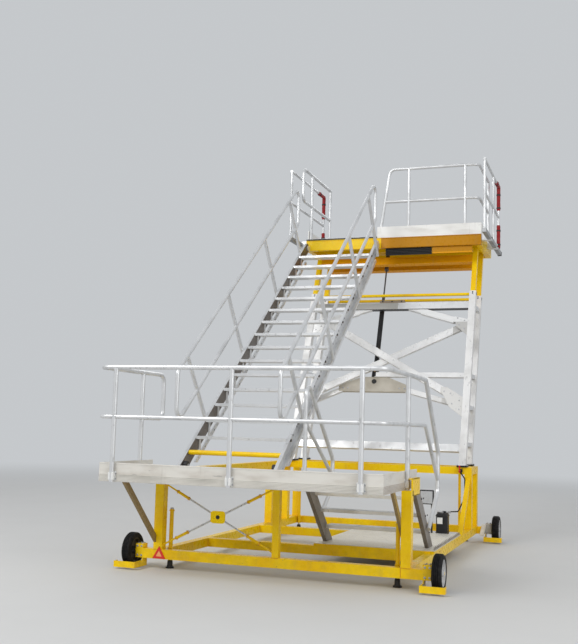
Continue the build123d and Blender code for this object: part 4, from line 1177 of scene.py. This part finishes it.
@dataclass
class Mast(Assembly):
    """The leaning mast: bolted feet, gusset bolts, slide screws, ram fittings and bracket."""

    column_x: float = 1.263
    foot_top: float = 1.082
    top: float = 3.678
    yoke_x: float = -0.17
    ram_back: float = 0.15
    ram_foot: float = 2.338
    ram_mouth: float = 3.538
    rod_heights: Point = (2.958, 3.66, 4.11)
    beam: float = 3.458

    def build(self) -> None:
        """Adds the mast's trim."""
        self.foot_bolts()
        self.slide_screws()
        self.gusset_bolts()
        self.ram_fittings()
        self.ram_stages()
        self.brace_flanges()
        self.beam_bracket()

    def columns(self) -> list[tuple[float, float]]:
        """The x and the setback of each column."""
        return [(side * self.column_x, back) for side in SIDES for back in (0, MAST_SPACING)]

    def foot_bolts(self) -> None:
        """Four bolts in each black foot."""
        feet = [on_mast(x, self.foot_top, back) for x, back in self.columns()]
        places = [shift((foot.x + dx, foot.y + dy, foot.z)) for foot in feet
                  for dx in (-0.059, 0.059) for dy in (-0.078, 0.078)]
        self.bolts("mast_foot_bolts", (0.0095, 0.008), places, "steel_bolt", Slot.BLACK)

    def slide_screws(self) -> None:
        """Dark set screws in the outer columns' mouths."""
        places = []
        for x, back in self.columns():
            side = math.copysign(1, x)
            for drop in (0.02, 0.045):
                spot = on_mast(x, self.top, back) - MAST_AXIS * drop
                places += [off_mast(spot, 0.05), toward((side, 0, 0), spot + Vector((side * 0.05, 0, 0)))]
        self.bolts("slide_screws", (0.0075, 0.006), places, "dark_bolt")

    def gusset_bolts(self) -> None:
        """Bolts through the gusset plates into the braces."""
        spots = ((1.06, 3.245), (1.165, 3.205), (1.165, 3.08), (1.085, 3.14), (0.935, 2.12), (1.03, 2.09),
                 (1.165, 1.99), (1.165, 1.86), (1.06, 1.94))
        places = [off_mast(on_mast(side * x, z), 0.0352) for side in SIDES for x, z in spots]
        self.bolts("gusset_bolts", (0.0095, 0.007), places, "steel_bolt")

    def ram_fittings(self) -> None:
        """The ram's gland nut, boot and oil port, and the yoke's dark eye and bolts."""
        mouth = on_mast(self.yoke_x, self.ram_mouth, self.ram_back)
        foot = on_mast(self.yoke_x, self.ram_foot, self.ram_back)
        for name, profile, place, finish, steps in (
            ("ram_gland", ((0.0255, 0.0), (0.041, 0.0), (0.041, 0.03), (0.038, 0.036), (0.03, 0.042),
                           (0.0255, 0.042), (0.0255, 0.0)),
             toward(MAST_AXIS, mouth - MAST_AXIS * 0.03), "steel_bolt", 32),
            ("ram_boot", ((0.0, 0.0), (0.05, 0.0), (0.0525, 0.004), (0.0525, 0.12), (0.05, 0.128),
                          (0.038, 0.13), (0, 0.13)),
             toward(MAST_AXIS, foot + MAST_AXIS * 0.001), "black", 32),
            ("ram_port", ((0, 0.03), (0.01, 0.03), (0.01, 0.012), (0.015, 0.012), (0.015, 0), (0, 0)),
             off_mast(foot + MAST_AXIS * 0.09, 0.05), "brass", 18),
            ("yoke_eye", ((0, 0.005), (0.02, 0.005), (0.022, 0.009), (0.034, 0.009), (0.037, 0.006),
                          (0.037, 0), (0, 0)),
             off_mast(foot - MAST_AXIS * 0.075, 0.025), "black_plastic", 28),
        ):
            self.turned(name, profile, place, finish, steps=steps)
        places = [off_mast(on_mast(self.yoke_x + dx, 2.165, self.ram_back), 0.025)
                  for dx in (-0.48, -0.4, 0.4, 0.48)]
        self.bolts("yoke_bolts", (0.011, 0.009), places, "steel_bolt")

    def ram_stages(self) -> None:
        """The ram's two rod stages, the upper one slim, under the platform's head block."""
        top_of_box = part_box("ram_rod")[1][2]
        foot = self.rod_heights[0]
        step, top = ((z - foot) / MAST_AXIS.z for z in self.rod_heights[1:])
        rod = lathe("rod", ((0, 0), (0.022, 0), (0.024, 0.003), (0.024, step), (0.021, step + 0.006),
                            (0.012, step + 0.008), (0.012, top), (0, top)), 28)
        moved(rod, toward(MAST_AXIS, on_mast(self.yoke_x, foot, self.ram_back)))
        rise = (top_of_box - 4.1) / MAST_AXIS.z - 0.012
        head = slab("head", (-0.028, -0.033, 0), (0.028, 0.033, rise), 0.006, 2)
        moved(head, toward(MAST_AXIS, on_mast(self.yoke_x, 4.1, self.ram_back)))
        whole = join("ram_stages", [rod, head])
        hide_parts("ram_rod")
        dress(whole, "rod_grey", Body.PLATFORM.value)

    def brace_flanges(self) -> None:
        """Flanges along the upper and lower edges of the crossing braces and the knees."""
        runs = [((-0.95, 3.1807), (1.2, 1.979), 0, 0.04), ((-1.2, 2.0271), (1.2, 3.1579), 0.052, 0.04)]
        runs += [((side * 0.5, 3.3723), (side * 1.02, 3.2188), 0, 0.0375) for side in SIDES]
        strips = []
        for start, end, back, half in runs:
            low, high = on_mast(*start, back), on_mast(*end, back)
            along = (high - low).normalized()
            across = MAST_FACE.cross(along)
            for side in SIDES:
                place = Matrix((along, -MAST_FACE, across)).transposed().to_4x4()
                place.translation = low + across * side * (half + 0.0068)
                strip = slab("strip", (0, -0.024, -0.0075), ((high - low).length, 0.024, 0.0075), 0.002)
                strips.append(moved(strip, place))
        self.add(join("brace_flanges", strips), "brace_metal", Slot.ALUMINIUM)

    def beam_bracket(self) -> None:
        """The tan bracket with its bolts on the top beam, and a dark sheet under the beam that is painted
        shade.
        """
        spot = on_mast(0.02, self.beam) + MAST_AXIS * 0.055
        self.block("beam_bracket", (-0.2, -0.002, -0.032), (0.2, 0.05, 0.034), "tan_bracket",
                   Slot.BLACK, 0.012, 3, off_mast(spot))
        places = [off_mast(spot + MAST_AXIS * 0.024 + Vector((dx, 0, 0)), 0.034) for dx in (-0.15, 0, 0.15)]
        self.bolts("beam_bracket_bolts", (0.01, 0.008), places, "dark_bolt", Slot.BLACK)
        # A thin dark sheet along the top beam's underside: painted shade, not a part of the beam.
        self.block("beam_shade_sheet", (-1.21, -0.006, -0.031), (1.21, 0.002, 0.033), "rod_grey",
                   Slot.ALUMINIUM, place=off_mast(on_mast(0, self.beam) - MAST_AXIS * 0.056))


@dataclass
class UpperPlatform(Assembly):
    """The lifting platform: planked deck, edge strips, beam flanges and post feet."""

    body: ClassVar[Body] = Body.PLATFORM
    front: float = 5.7
    length: float = 1.18
    half: float = 1.4
    top: float = 4.578
    beam_foot: float = 4.385
    inner_beam: float = 4.218
    sleeves_at: tuple[float, ...] = (5.72, 6.42)

    def build(self) -> None:
        """Adds the platform's trim."""
        self.plank_ribs("platform_deck_ribs", (-self.half + 0.075, self.half - 0.075),
                        (depth(self.front) + 0.074, depth(self.front + self.length) - 0.004), self.top)
        self.edge_strips()
        self.post_feet()
        self.sleeve_screws()

    def edge_strips(self) -> None:
        """The dark strip, the grille and the channel at the front beam, and the beams' flanges."""
        y, half, foot = depth(self.front), self.half, self.beam_foot
        self.block("edge_strip", (-half + 0.002, y - 0.005, self.top - 0.03),
                   (-0.226, y + 0.002, self.top - 0.004), "black_plastic", Slot.BLACK, 0.0015)
        slats = [slab("slat", (-0.095, y + 0.03, foot - 0.024 * row - 0.017),
                      (0.64, y + 0.046, foot - 0.024 * row), 0.005) for row in range(5)]
        slats.append(slab("back", (-0.09, y + 0.044, foot - 0.112), (0.635, y + 0.052, foot), 0.002))
        self.add(join("edge_grille", slats), "black_plastic", Slot.BLACK)
        flanges = [slab("flange", (-half + 0.002, y - 0.009, z), (half - 0.002, y + 0.002, z + 0.01), 0.002)
                   for z in (foot, self.top - 0.038)]
        for back in (0, MAST_SPACING):
            for rise in (-0.059, 0.059):
                flange = slab("flange", (-1.22, -0.005, 0.0), (1.22, 0.005, 0.048), 0.002)
                flanges.append(moved(flange, off_mast(on_mast(0, self.inner_beam, back) + MAST_AXIS * rise)))
        self.add(join("beam_flanges", flanges), "yellow_platform", Slot.YELLOW)
        self.block("edge_channel", (0.645, y + 0.03, foot - 0.105), (1.26, y + 0.05, foot),
                   "yellow_platform", Slot.YELLOW, 0.004, 2)

    def post_feet(self) -> None:
        """Weld rings at the feet of the guardrail's posts."""
        line_y, side_x = depth(self.front) + 0.044, self.half - 0.044
        rear_y = depth(self.front + self.length) - 0.06
        feet = [(0.265, line_y), (1.145, line_y), (-side_x, rear_y), (side_x, rear_y),
                (-side_x, line_y + 0.06)]
        places = [shift((x, y, self.top + 0.001)) for x, y in feet]
        self.row("platform_post_welds", weld_ring(0.0245, 0.004), places, "weld_silver", Slot.ALUMINIUM)

    def sleeve_screws(self) -> None:
        """Locking screws on the side guards' sleeves."""
        places = [toward((side, 0, 0), (side * 1.548, depth(at) + dy, 4.498))
                  for side in SIDES for at in self.sleeves_at for dy in (0.03, 0.09)]
        self.bolts("sleeve_screws", (0.009, 0.008), places, "dark_bolt")


@dataclass
class Stair(Assembly):
    """The long stair: ribbed treads, castings and pivots on its stringers, and link pins."""

    body: ClassVar[Body] = Body.STAIR
    left: float = -1.39
    right: float = -0.185
    flange: float = 0.04
    web: float = 0.006
    roller: tuple[float, float] = (1.37, 1.088)

    def build(self) -> None:
        """Adds the stair's trim."""
        noses = [on_stair(step) for step in range(TREADS)]
        self.grip_ribs("stair_tread_ribs", self.faces(0), [(nose.y, nose.z) for nose in noses], 0.0261)
        self.pivots(noses)
        self.web_slots()
        self.roller_trim()

    def faces(self, out: float) -> tuple[float, float]:
        """X of the stringers' inner faces, moved outward."""
        return self.left + self.flange - out, self.right - self.flange + out

    def pivots(self, noses: Sequence[Vector]) -> None:
        """Castings and dark pivots of the treads on both stringers, and pins of the link bars.

        Args:
            noses: The treads' nosings.
        """
        centres = [(way, Vector((x, nose.y + 0.1, nose.z - 0.017)))
                   for nose in noses for way, x in zip(SIDES, self.faces(self.web))]
        seats = [shift(centre) @ Matrix(((0, 0, way), (way, 0, 0), (0, 1, 0))).to_4x4()
                 for way, centre in centres]
        casting = slab("casting", (-0.055, -0.016, 0.0), (0.055, 0.016, 0.009), 0.006, 2)
        self.row("tread_castings", casting, seats, "tan_bracket", Slot.ALUMINIUM)
        heads = [toward((way, 0, 0), centre + Vector((way * 0.008, 0, 0))) for way, centre in centres]
        self.bolts("tread_pivots", (0.013, 0.01), heads, "dark_bolt")
        pins = [toward((way, 0, 0), on_stair(step + 105 / 254, 0.262, x))
                for step in range(TREADS) for way, x in zip(SIDES, self.faces(0))]
        self.bolts("link_pins", (0.008, 0.006), pins, "dark_bolt")

    def web_slots(self) -> None:
        """Dark slots along the webs of the stringers."""
        slot = slab("slot", (-0.0005, -0.009, -0.028), (0.002, 0.009, 0.028), 0.002)
        left, right = self.faces(self.web)[0] - self.web - 0.0005, self.faces(self.web)[1]
        places = [shift(on_stair(half / 2 + 0.6, 0.078, x)) @ Matrix.Rotation(0.5, 4, "X")
                  for half in range(2 * TREADS - 3) for x in (left, right)]
        self.row("web_slots", slot, places, "dark_bolt", Slot.ALUMINIUM)

    def roller_trim(self) -> None:
        """Caps on the ends of the rollers' axles."""
        y, z = depth(self.roller[0]), self.roller[1]
        cap = lathe("axle_cap", ((0, 0.0035), (0.012, 0.003), (0.017, 0.001), (0.017, -0.002),
                                 (0, -0.002)), 20)
        places = [toward((-way, 0, 0), (x, y, z)) for way, x in zip(SIDES, self.faces(-0.05))]
        self.row("roller_caps", cap, places, "steel_bolt", Slot.ALUMINIUM)


@dataclass
class SideGuard(Assembly):
    """One sliding side guard: padded sleeves with straps, and the beam's rubber ends."""

    side: int
    name: str
    x: float = 1.51
    rear: float = 6.945
    top: float = 5.583
    mid: float = 5.073
    low: float = 4.548
    pad: float = 0.034
    pitch: float = 0.014
    bend: float = 0.018
    straps_at: tuple[float, ...] = (4.62, 4.85, 5.23, 5.45)

    @property
    def body(self) -> Body:
        """The guard's own body."""
        return Body("side_guard_" + self.name)

    def build(self) -> None:
        """Adds the pads, straps and end pieces."""
        x, y = self.side * self.x, depth(self.rear)
        heights = (self.top, self.mid + 0.115, self.low, self.mid - 0.13)
        corner, foot, low, high = (Vector((x, y, z)) for z in heights)
        self.sleeve(f"bumper_top_{self.name}", [Vector((x, y - 0.33, self.top)), corner, foot])
        self.sleeve(f"bumper_low_{self.name}", [low, high])
        self.straps(x, y)
        self.beam_ends(x)

    def sleeve(self, name: str, line: Sequence[Vector]) -> None:
        """A stuffed vinyl sleeve along the guard's tubes.

        Args:
            name: The piece's name.
            line: Its centre line.
        """
        curve = bpy.data.curves.new(name, "CURVE")
        curve.dimensions = "3D"
        curve.bevel_depth = self.pad - 0.0025
        curve.bevel_resolution = 6
        curve.resolution_u = 10
        curve.use_fill_caps = True
        points = self.walked(line)
        last = len(points) - 1
        spline = curve.splines.new("POLY")
        spline.points.add(last)
        for index, (point, place) in enumerate(zip(spline.points, points)):
            point.co = (*place, 1)
            quilt = 0.965 + 0.05 * abs(math.sin(math.pi * index / 6))
            point.radius = quilt * {0: 0.8, 1: 0.95}.get(min(index, last - index), 1.0)
        piece = bpy.data.objects.new(name, curve)
        bpy.context.collection.objects.link(piece)
        take(piece)
        bpy.ops.object.convert(target="MESH")
        bpy.ops.object.mode_set(mode="EDIT")
        heal()
        piece = leave_edit(name)
        self.wrinkle(piece)
        smooth(piece, 50)
        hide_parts(f"bumpers_{self.name}")
        self.add(piece, "red_vinyl", Slot.PADDING)

    def run(self, start: Vector, end: Vector) -> list[Vector]:
        """Even points on a straight line."""
        count = int((end - start).length / self.pitch)
        return [start.lerp(end, index / count) for index in range(count + 1)]

    def walked(self, line: Sequence[Vector]) -> list[Vector]:
        """Even points along a line whose corner, if it has one, is rounded.

        Args:
            line: The line's ends, with its corner between them.

        Returns:
            The points.
        """
        if len(line) == 2:
            return self.run(*line)
        start, corner, end = line
        first, second = (corner - start).normalized() * self.bend, (end - corner).normalized() * self.bend
        turns = (math.radians(angle) for angle in (22.5, 45, 67.5))
        arc = [corner - first + second + first * math.sin(turn) - second * math.cos(turn) for turn in turns]
        return self.run(start, corner - first) + arc + self.run(corner + second, end)

    def wrinkle(self, piece: Piece) -> None:
        """Moves the sleeve's skin in soft folds, never past the pad's own size.

        Args:
            piece: The sleeve.
        """
        texture = bpy.data.textures.new("folds", "CLOUDS")
        texture.noise_scale = 0.035
        take(piece)
        folds = piece.modifiers.new("folds", "DISPLACE")
        folds.texture = texture
        folds.strength = 0.004
        folds.mid_level = 0.75
        folds.texture_coords = "LOCAL"
        bpy.ops.object.modifier_apply(modifier="folds")

    def straps(self, x: float, y: float) -> None:
        """Black straps round the pads.

        Args:
            x: The guard's plane.
            y: The rear post.
        """
        strap = lathe("strap", ((0.031, -0.011), (0.0348, -0.011), (0.0352, -0.009), (0.0352, 0.009),
                                (0.0348, 0.011), (0.031, 0.011), (0.031, -0.011)), 28)
        places = [shift((x, y, z)) for z in self.straps_at]
        places.append(toward((0, 1, 0), (x, y - 0.25, self.top)))
        self.row(f"bumper_straps_{self.name}", strap, places, "black_plastic", Slot.BLACK)

    def beam_ends(self, x: float) -> None:
        """A rubber foot on the base beam's rear end and a grey plug in its front end.

        Args:
            x: The guard's plane.
        """
        low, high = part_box(f"side_guard_rails_{self.name}")
        self.block(f"guard_beam_foot_{self.name}", (x - 0.033, high[1] - 0.04, 4.462),
                   (x + 0.033, high[1], 4.531), "black_plastic", Slot.BLACK, 0.006, 2)
        self.block(f"guard_beam_plug_{self.name}", (x - 0.029, low[1] - 0.004, 4.469),
                   (x + 0.029, low[1] + 0.02, 4.527), "grey_plastic", Slot.ALUMINIUM, 0.004, 2)


@dataclass
class HandPump(Assembly):
    """The hand pump's tank, blank plate, bands, control case, valve handle and hose ends."""

    x: float = 1.178
    front: float = 0.2985
    length: float = 0.165
    top: float = 0.495
    width: float = 0.15
    to_left: float = 0.0925

    def build(self) -> None:
        """Adds the pump's trim."""
        self.tank()
        self.tank_trim()
        self.control_case()
        self.valve_handle()
        self.turned("lever_socket", ((0, -0.04), (0.014, -0.04), (0.014, 0.04), (0, 0.04)),
                    toward((1, 0, 0), (self.x - 0.045, self.front + 0.07, self.top + 0.01)), "steel_bolt",
                    steps=20)

    def tank(self) -> None:
        """The rounded tank with its neck on a tray, and the valve block on the post."""
        left, rear = self.x - self.to_left, self.front + self.length
        tank = slab("tank", (left, self.front, 0.21), (left + self.width, rear, self.top), 0.026, 4)
        neck = lathe("neck", ((0, 0.0), (0.022, 0.0), (0.022, 0.018), (0.019, 0.026), (0, 0.026)))
        moved(neck, shift((self.x, self.front + self.length / 2, self.top)))
        tray = slab("tray", (left - 0.02, 0.2785, 0.2), (1.3, 0.4835, 0.21), 0.002)
        valve = slab("valve", (1.225, 1.2485, 0.985), (1.275, 1.2885, 1.035), 0.005, 2)
        whole = join("pump_tank", [smooth(piece, 40) for piece in (tank, neck, tray, valve)])
        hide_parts("pump_unit")
        self.add(whole, "black", Slot.BLACK)

    def tank_trim(self) -> None:
        """A blank plate on the tank, and two bands round it."""
        left, y = self.x - self.to_left, self.front
        self.block("pump_plate", (left + 0.018, y - 0.003, 0.36), (left + 0.088, y + 0.001, 0.44),
                   "white_plastic", Slot.BOARD, 0.001)
        right = left + self.width
        bands = [slab("band", (left - 0.002, y - 0.002, z), (right + 0.002, 0.4655, z + 0.012), 0.001)
                 for z in (0.245, 0.455)]
        self.add(join("pump_bands", bands), "black_plastic", Slot.BLACK)

    def control_case(self) -> None:
        """The small case on its stand beside the tank, with a grey lid."""
        case = [slab("case", (0.872, 0.29, 0.6), (1.056, 0.34, 0.785), 0.012, 3),
                slab("case_foot", (1.022, 0.3, 0.2), (1.042, 0.325, 0.61), 0.002)]
        self.add(join("control_case", case), "black_plastic", Slot.BLACK)
        self.block("control_lid", (0.886, 0.282, 0.612), (1.042, 0.292, 0.77), "grey_plastic",
                   Slot.ALUMINIUM, 0.008, 3)

    def valve_handle(self) -> None:
        """The red handle on the valve block's front, and the hose's end fittings."""
        self.turned("valve_stem", ((0, 0), (0.009, 0), (0.009, 0.014), (0.013, 0.016), (0.013, 0.024),
                                   (0, 0.026)), toward(AHEAD, (1.24, 1.249, 1.012)), "brass", steps=20)
        self.block("valve_grip", (1.23, 1.223, 0.985), (1.25, 1.233, 1.085), "red_plastic", Slot.PADDING,
                   0.004, 3)
        ferrule = lathe("ferrule", ((0.0085, -0.03), (0.0115, -0.028), (0.0115, 0.012), (0.0145, 0.014),
                                    (0.0145, 0.028), (0.0085, 0.03), (0.0085, -0.03)), 20)
        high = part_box("pump_hose")[1]
        places = [toward((1, 0, 0), (self.x + 0.055, self.front + self.length / 2, self.top + 0.013)),
                  toward(UP, (high[0] - 0.008, high[1] - 0.008, 0.64))]
        self.row("hose_fittings", ferrule, places, "steel_bolt", Slot.BLACK)


@dataclass
class Studio:
    """The pale floor, the soft lamps, the sky and the camera, placed as the photograph's."""

    eye: Point = (3.3119, -11.9081, 1.5472)
    yaw: float = 19.468
    pitch: float = 6.45
    roll: float = 1.585
    lens: float = 57.96
    floor_colour: Colour = (0.6, 0.6, 0.59, 1)
    speckle_colour: Colour = (0.52, 0.52, 0.51, 1)
    sky_colour: Colour = (0.56, 0.58, 0.6, 1)
    daylight: Colour = (0.95, 0.97, 1, 1)
    strength: float = 0.58
    haze_from: float = 9
    haze_to: float = 26

    def build(self) -> None:
        """Sets the stage."""
        self.floor()
        self.sky()
        self.lamps()
        self.camera()
        bpy.context.scene.view_settings.view_transform = "Standard"

    def floor(self) -> None:
        """A wide plain floor that keeps the shadow and fades into the sky."""
        clear_selection()
        bpy.ops.mesh.primitive_grid_add(size=120, x_subdivisions=4, y_subdivisions=4, location=(0, 0, 0))
        floor = bpy.context.object
        floor.name = "floor"
        graph = Graph("floor")
        speckle = graph.ramp(graph.noise(1.2, 4), 0.35, 0.7, 0, 0.12)
        colour = graph.blend(speckle, self.floor_colour, self.speckle_colour)
        reach = graph.node("VectorMath", Vector=graph.coordinates)
        reach.operation = "LENGTH"
        far = graph.ramp(reach.outputs["Value"], self.haze_from, self.haze_to)
        share = graph.maths("MULTIPLY", far, graph.node("LightPath").outputs["Is Camera Ray"])
        graph.surface("Material Output", share, graph.shader, graph.node("Emission", Color=self.sky_colour))
        floor.data.materials.append(graph.finish(Base_Color=colour, Roughness=0.75))

    def sky(self) -> None:
        """A soft sky that lights the machine, pale grey where it is seen or mirrored."""
        world = bpy.data.worlds.new("sky")
        bpy.context.scene.world = world
        tree = Tree(world)
        light = tree.nodes["Background"]
        light.inputs["Color"].default_value = self.daylight
        light.inputs["Strength"].default_value = self.strength
        path = tree.node("LightPath")
        share = path.outputs["Is Camera Ray"]
        for name in ("Is Glossy Ray", "Is Transmission Ray"):
            share = tree.maths("MAXIMUM", share, path.outputs[name])
        tree.surface("World Output", share, light, tree.node("Background", Color=self.sky_colour, Strength=1))

    def lamps(self) -> None:
        """A wide key lamp from the front left above, a weaker one from the right, one behind."""
        for name, place, aim, size, power in (
            ("key", (-7, -12, 11), (0, 0, 2), 7, 1120),
            ("fill", (10, -8, 6), (0, 0, 2), 8, 480),
            ("back", (-3, 12, 10), (0, 0, 2.5), 7, 300),
        ):
            data = bpy.data.lights.new(name, "AREA")
            data.size = size
            data.energy = power
            lamp = bpy.data.objects.new(name, data)
            lamp.location = place
            lamp.rotation_euler = (Vector(aim) - Vector(place)).to_track_quat("-Z", "Y").to_euler()
            bpy.context.collection.objects.link(lamp)

    def camera(self) -> None:
        """The camera at the photograph's place, turn and lens."""
        data = bpy.data.cameras.new("camera")
        data.sensor_fit = "HORIZONTAL"
        data.sensor_width = 36
        data.lens = self.lens
        data.clip_end = 400
        yaw, pitch, roll = (math.radians(angle) for angle in (self.yaw, self.pitch, self.roll))
        ahead = Vector((-math.sin(yaw) * math.cos(pitch), math.cos(yaw) * math.cos(pitch), math.sin(pitch)))
        level = Vector((math.cos(yaw), math.sin(yaw), 0))
        above = level.cross(ahead)
        right = level * math.cos(roll) + above * math.sin(roll)
        up = above * math.cos(roll) - level * math.sin(roll)
        matrix = Matrix((right, up, -ahead)).transposed().to_4x4()
        matrix.translation = Vector(self.eye)
        camera = bpy.data.objects.new("camera", data)
        camera.matrix_world = matrix
        bpy.context.collection.objects.link(camera)
        bpy.context.scene.camera = camera


CAD_FINISH = {
    "leaning_braces": "yellow_struts",
    "outriggers": "yellow_brackets",
    "screw_jacks": "yellow_jacks",
    "tie_rods": "yellow_rods",
    "ram_yoke": "yoke_tan",
    "deck_plates": "deck_metal",
    "platform_deck": "deck_metal",
    "stair_treads": "aluminium_across",
    "flight_treads": "lug_metal",
    "landing_rails": "aluminium_across",
    "landing_mid_rails": "aluminium_across",
    "mast_beams": "beam_metal",
    "mast_braces": "brace_metal",
    "mast_columns": "column_metal",
    "stair_stringers": "stair_metal",
    "flight_stringers": "flight_metal",
    "platform_frame": "yellow_platform",
    "inner_beams": "yellow_platform",
    "side_guard_rails_left": "guard_metal",
    "side_guard_rails_right": "guard_metal",
    "platform_toe_boards": "board_white",
    "stair_hinges": "aluminium",
    "pump_hose": "hose",
    "stair_rollers": "black_plastic",
    "ram_rod": "rod_grey",
}
SLOT_FINISH = {
    Slot.YELLOW: "yellow",
    Slot.ALUMINIUM: "aluminium",
    Slot.BOARD: "board",
    Slot.BLACK: "black",
    Slot.HUB: "hub_grey",
    Slot.PADDING: "red_vinyl",
    Slot.TYRE: "tyre",
}


def paint_nodes() -> None:
    """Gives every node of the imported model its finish."""
    slots = {row["node"]: Slot(row["material_slot"]) for row in frame["record"]["subparts"]}
    for name, node in frame["nodes"].items():
        BOOK.give(node, CAD_FINISH.get(name, SLOT_FINISH[slots[name]]))


def main() -> None:
    """Builds the sub-assemblies in order."""
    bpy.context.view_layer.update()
    BOOK.build()
    Studio().build()
    paint_nodes()
    for assembly in (
        Wheels(),
        Chassis(),
        Landing(),
        Mast(),
        UpperPlatform(),
        Stair(),
        SideGuard(-1, "left"),
        SideGuard(1, "right"),
        HandPump(),
    ):
        assembly.build()
        report.info("%s done", type(assembly).__name__)


if __name__ == "__main__":
    main()
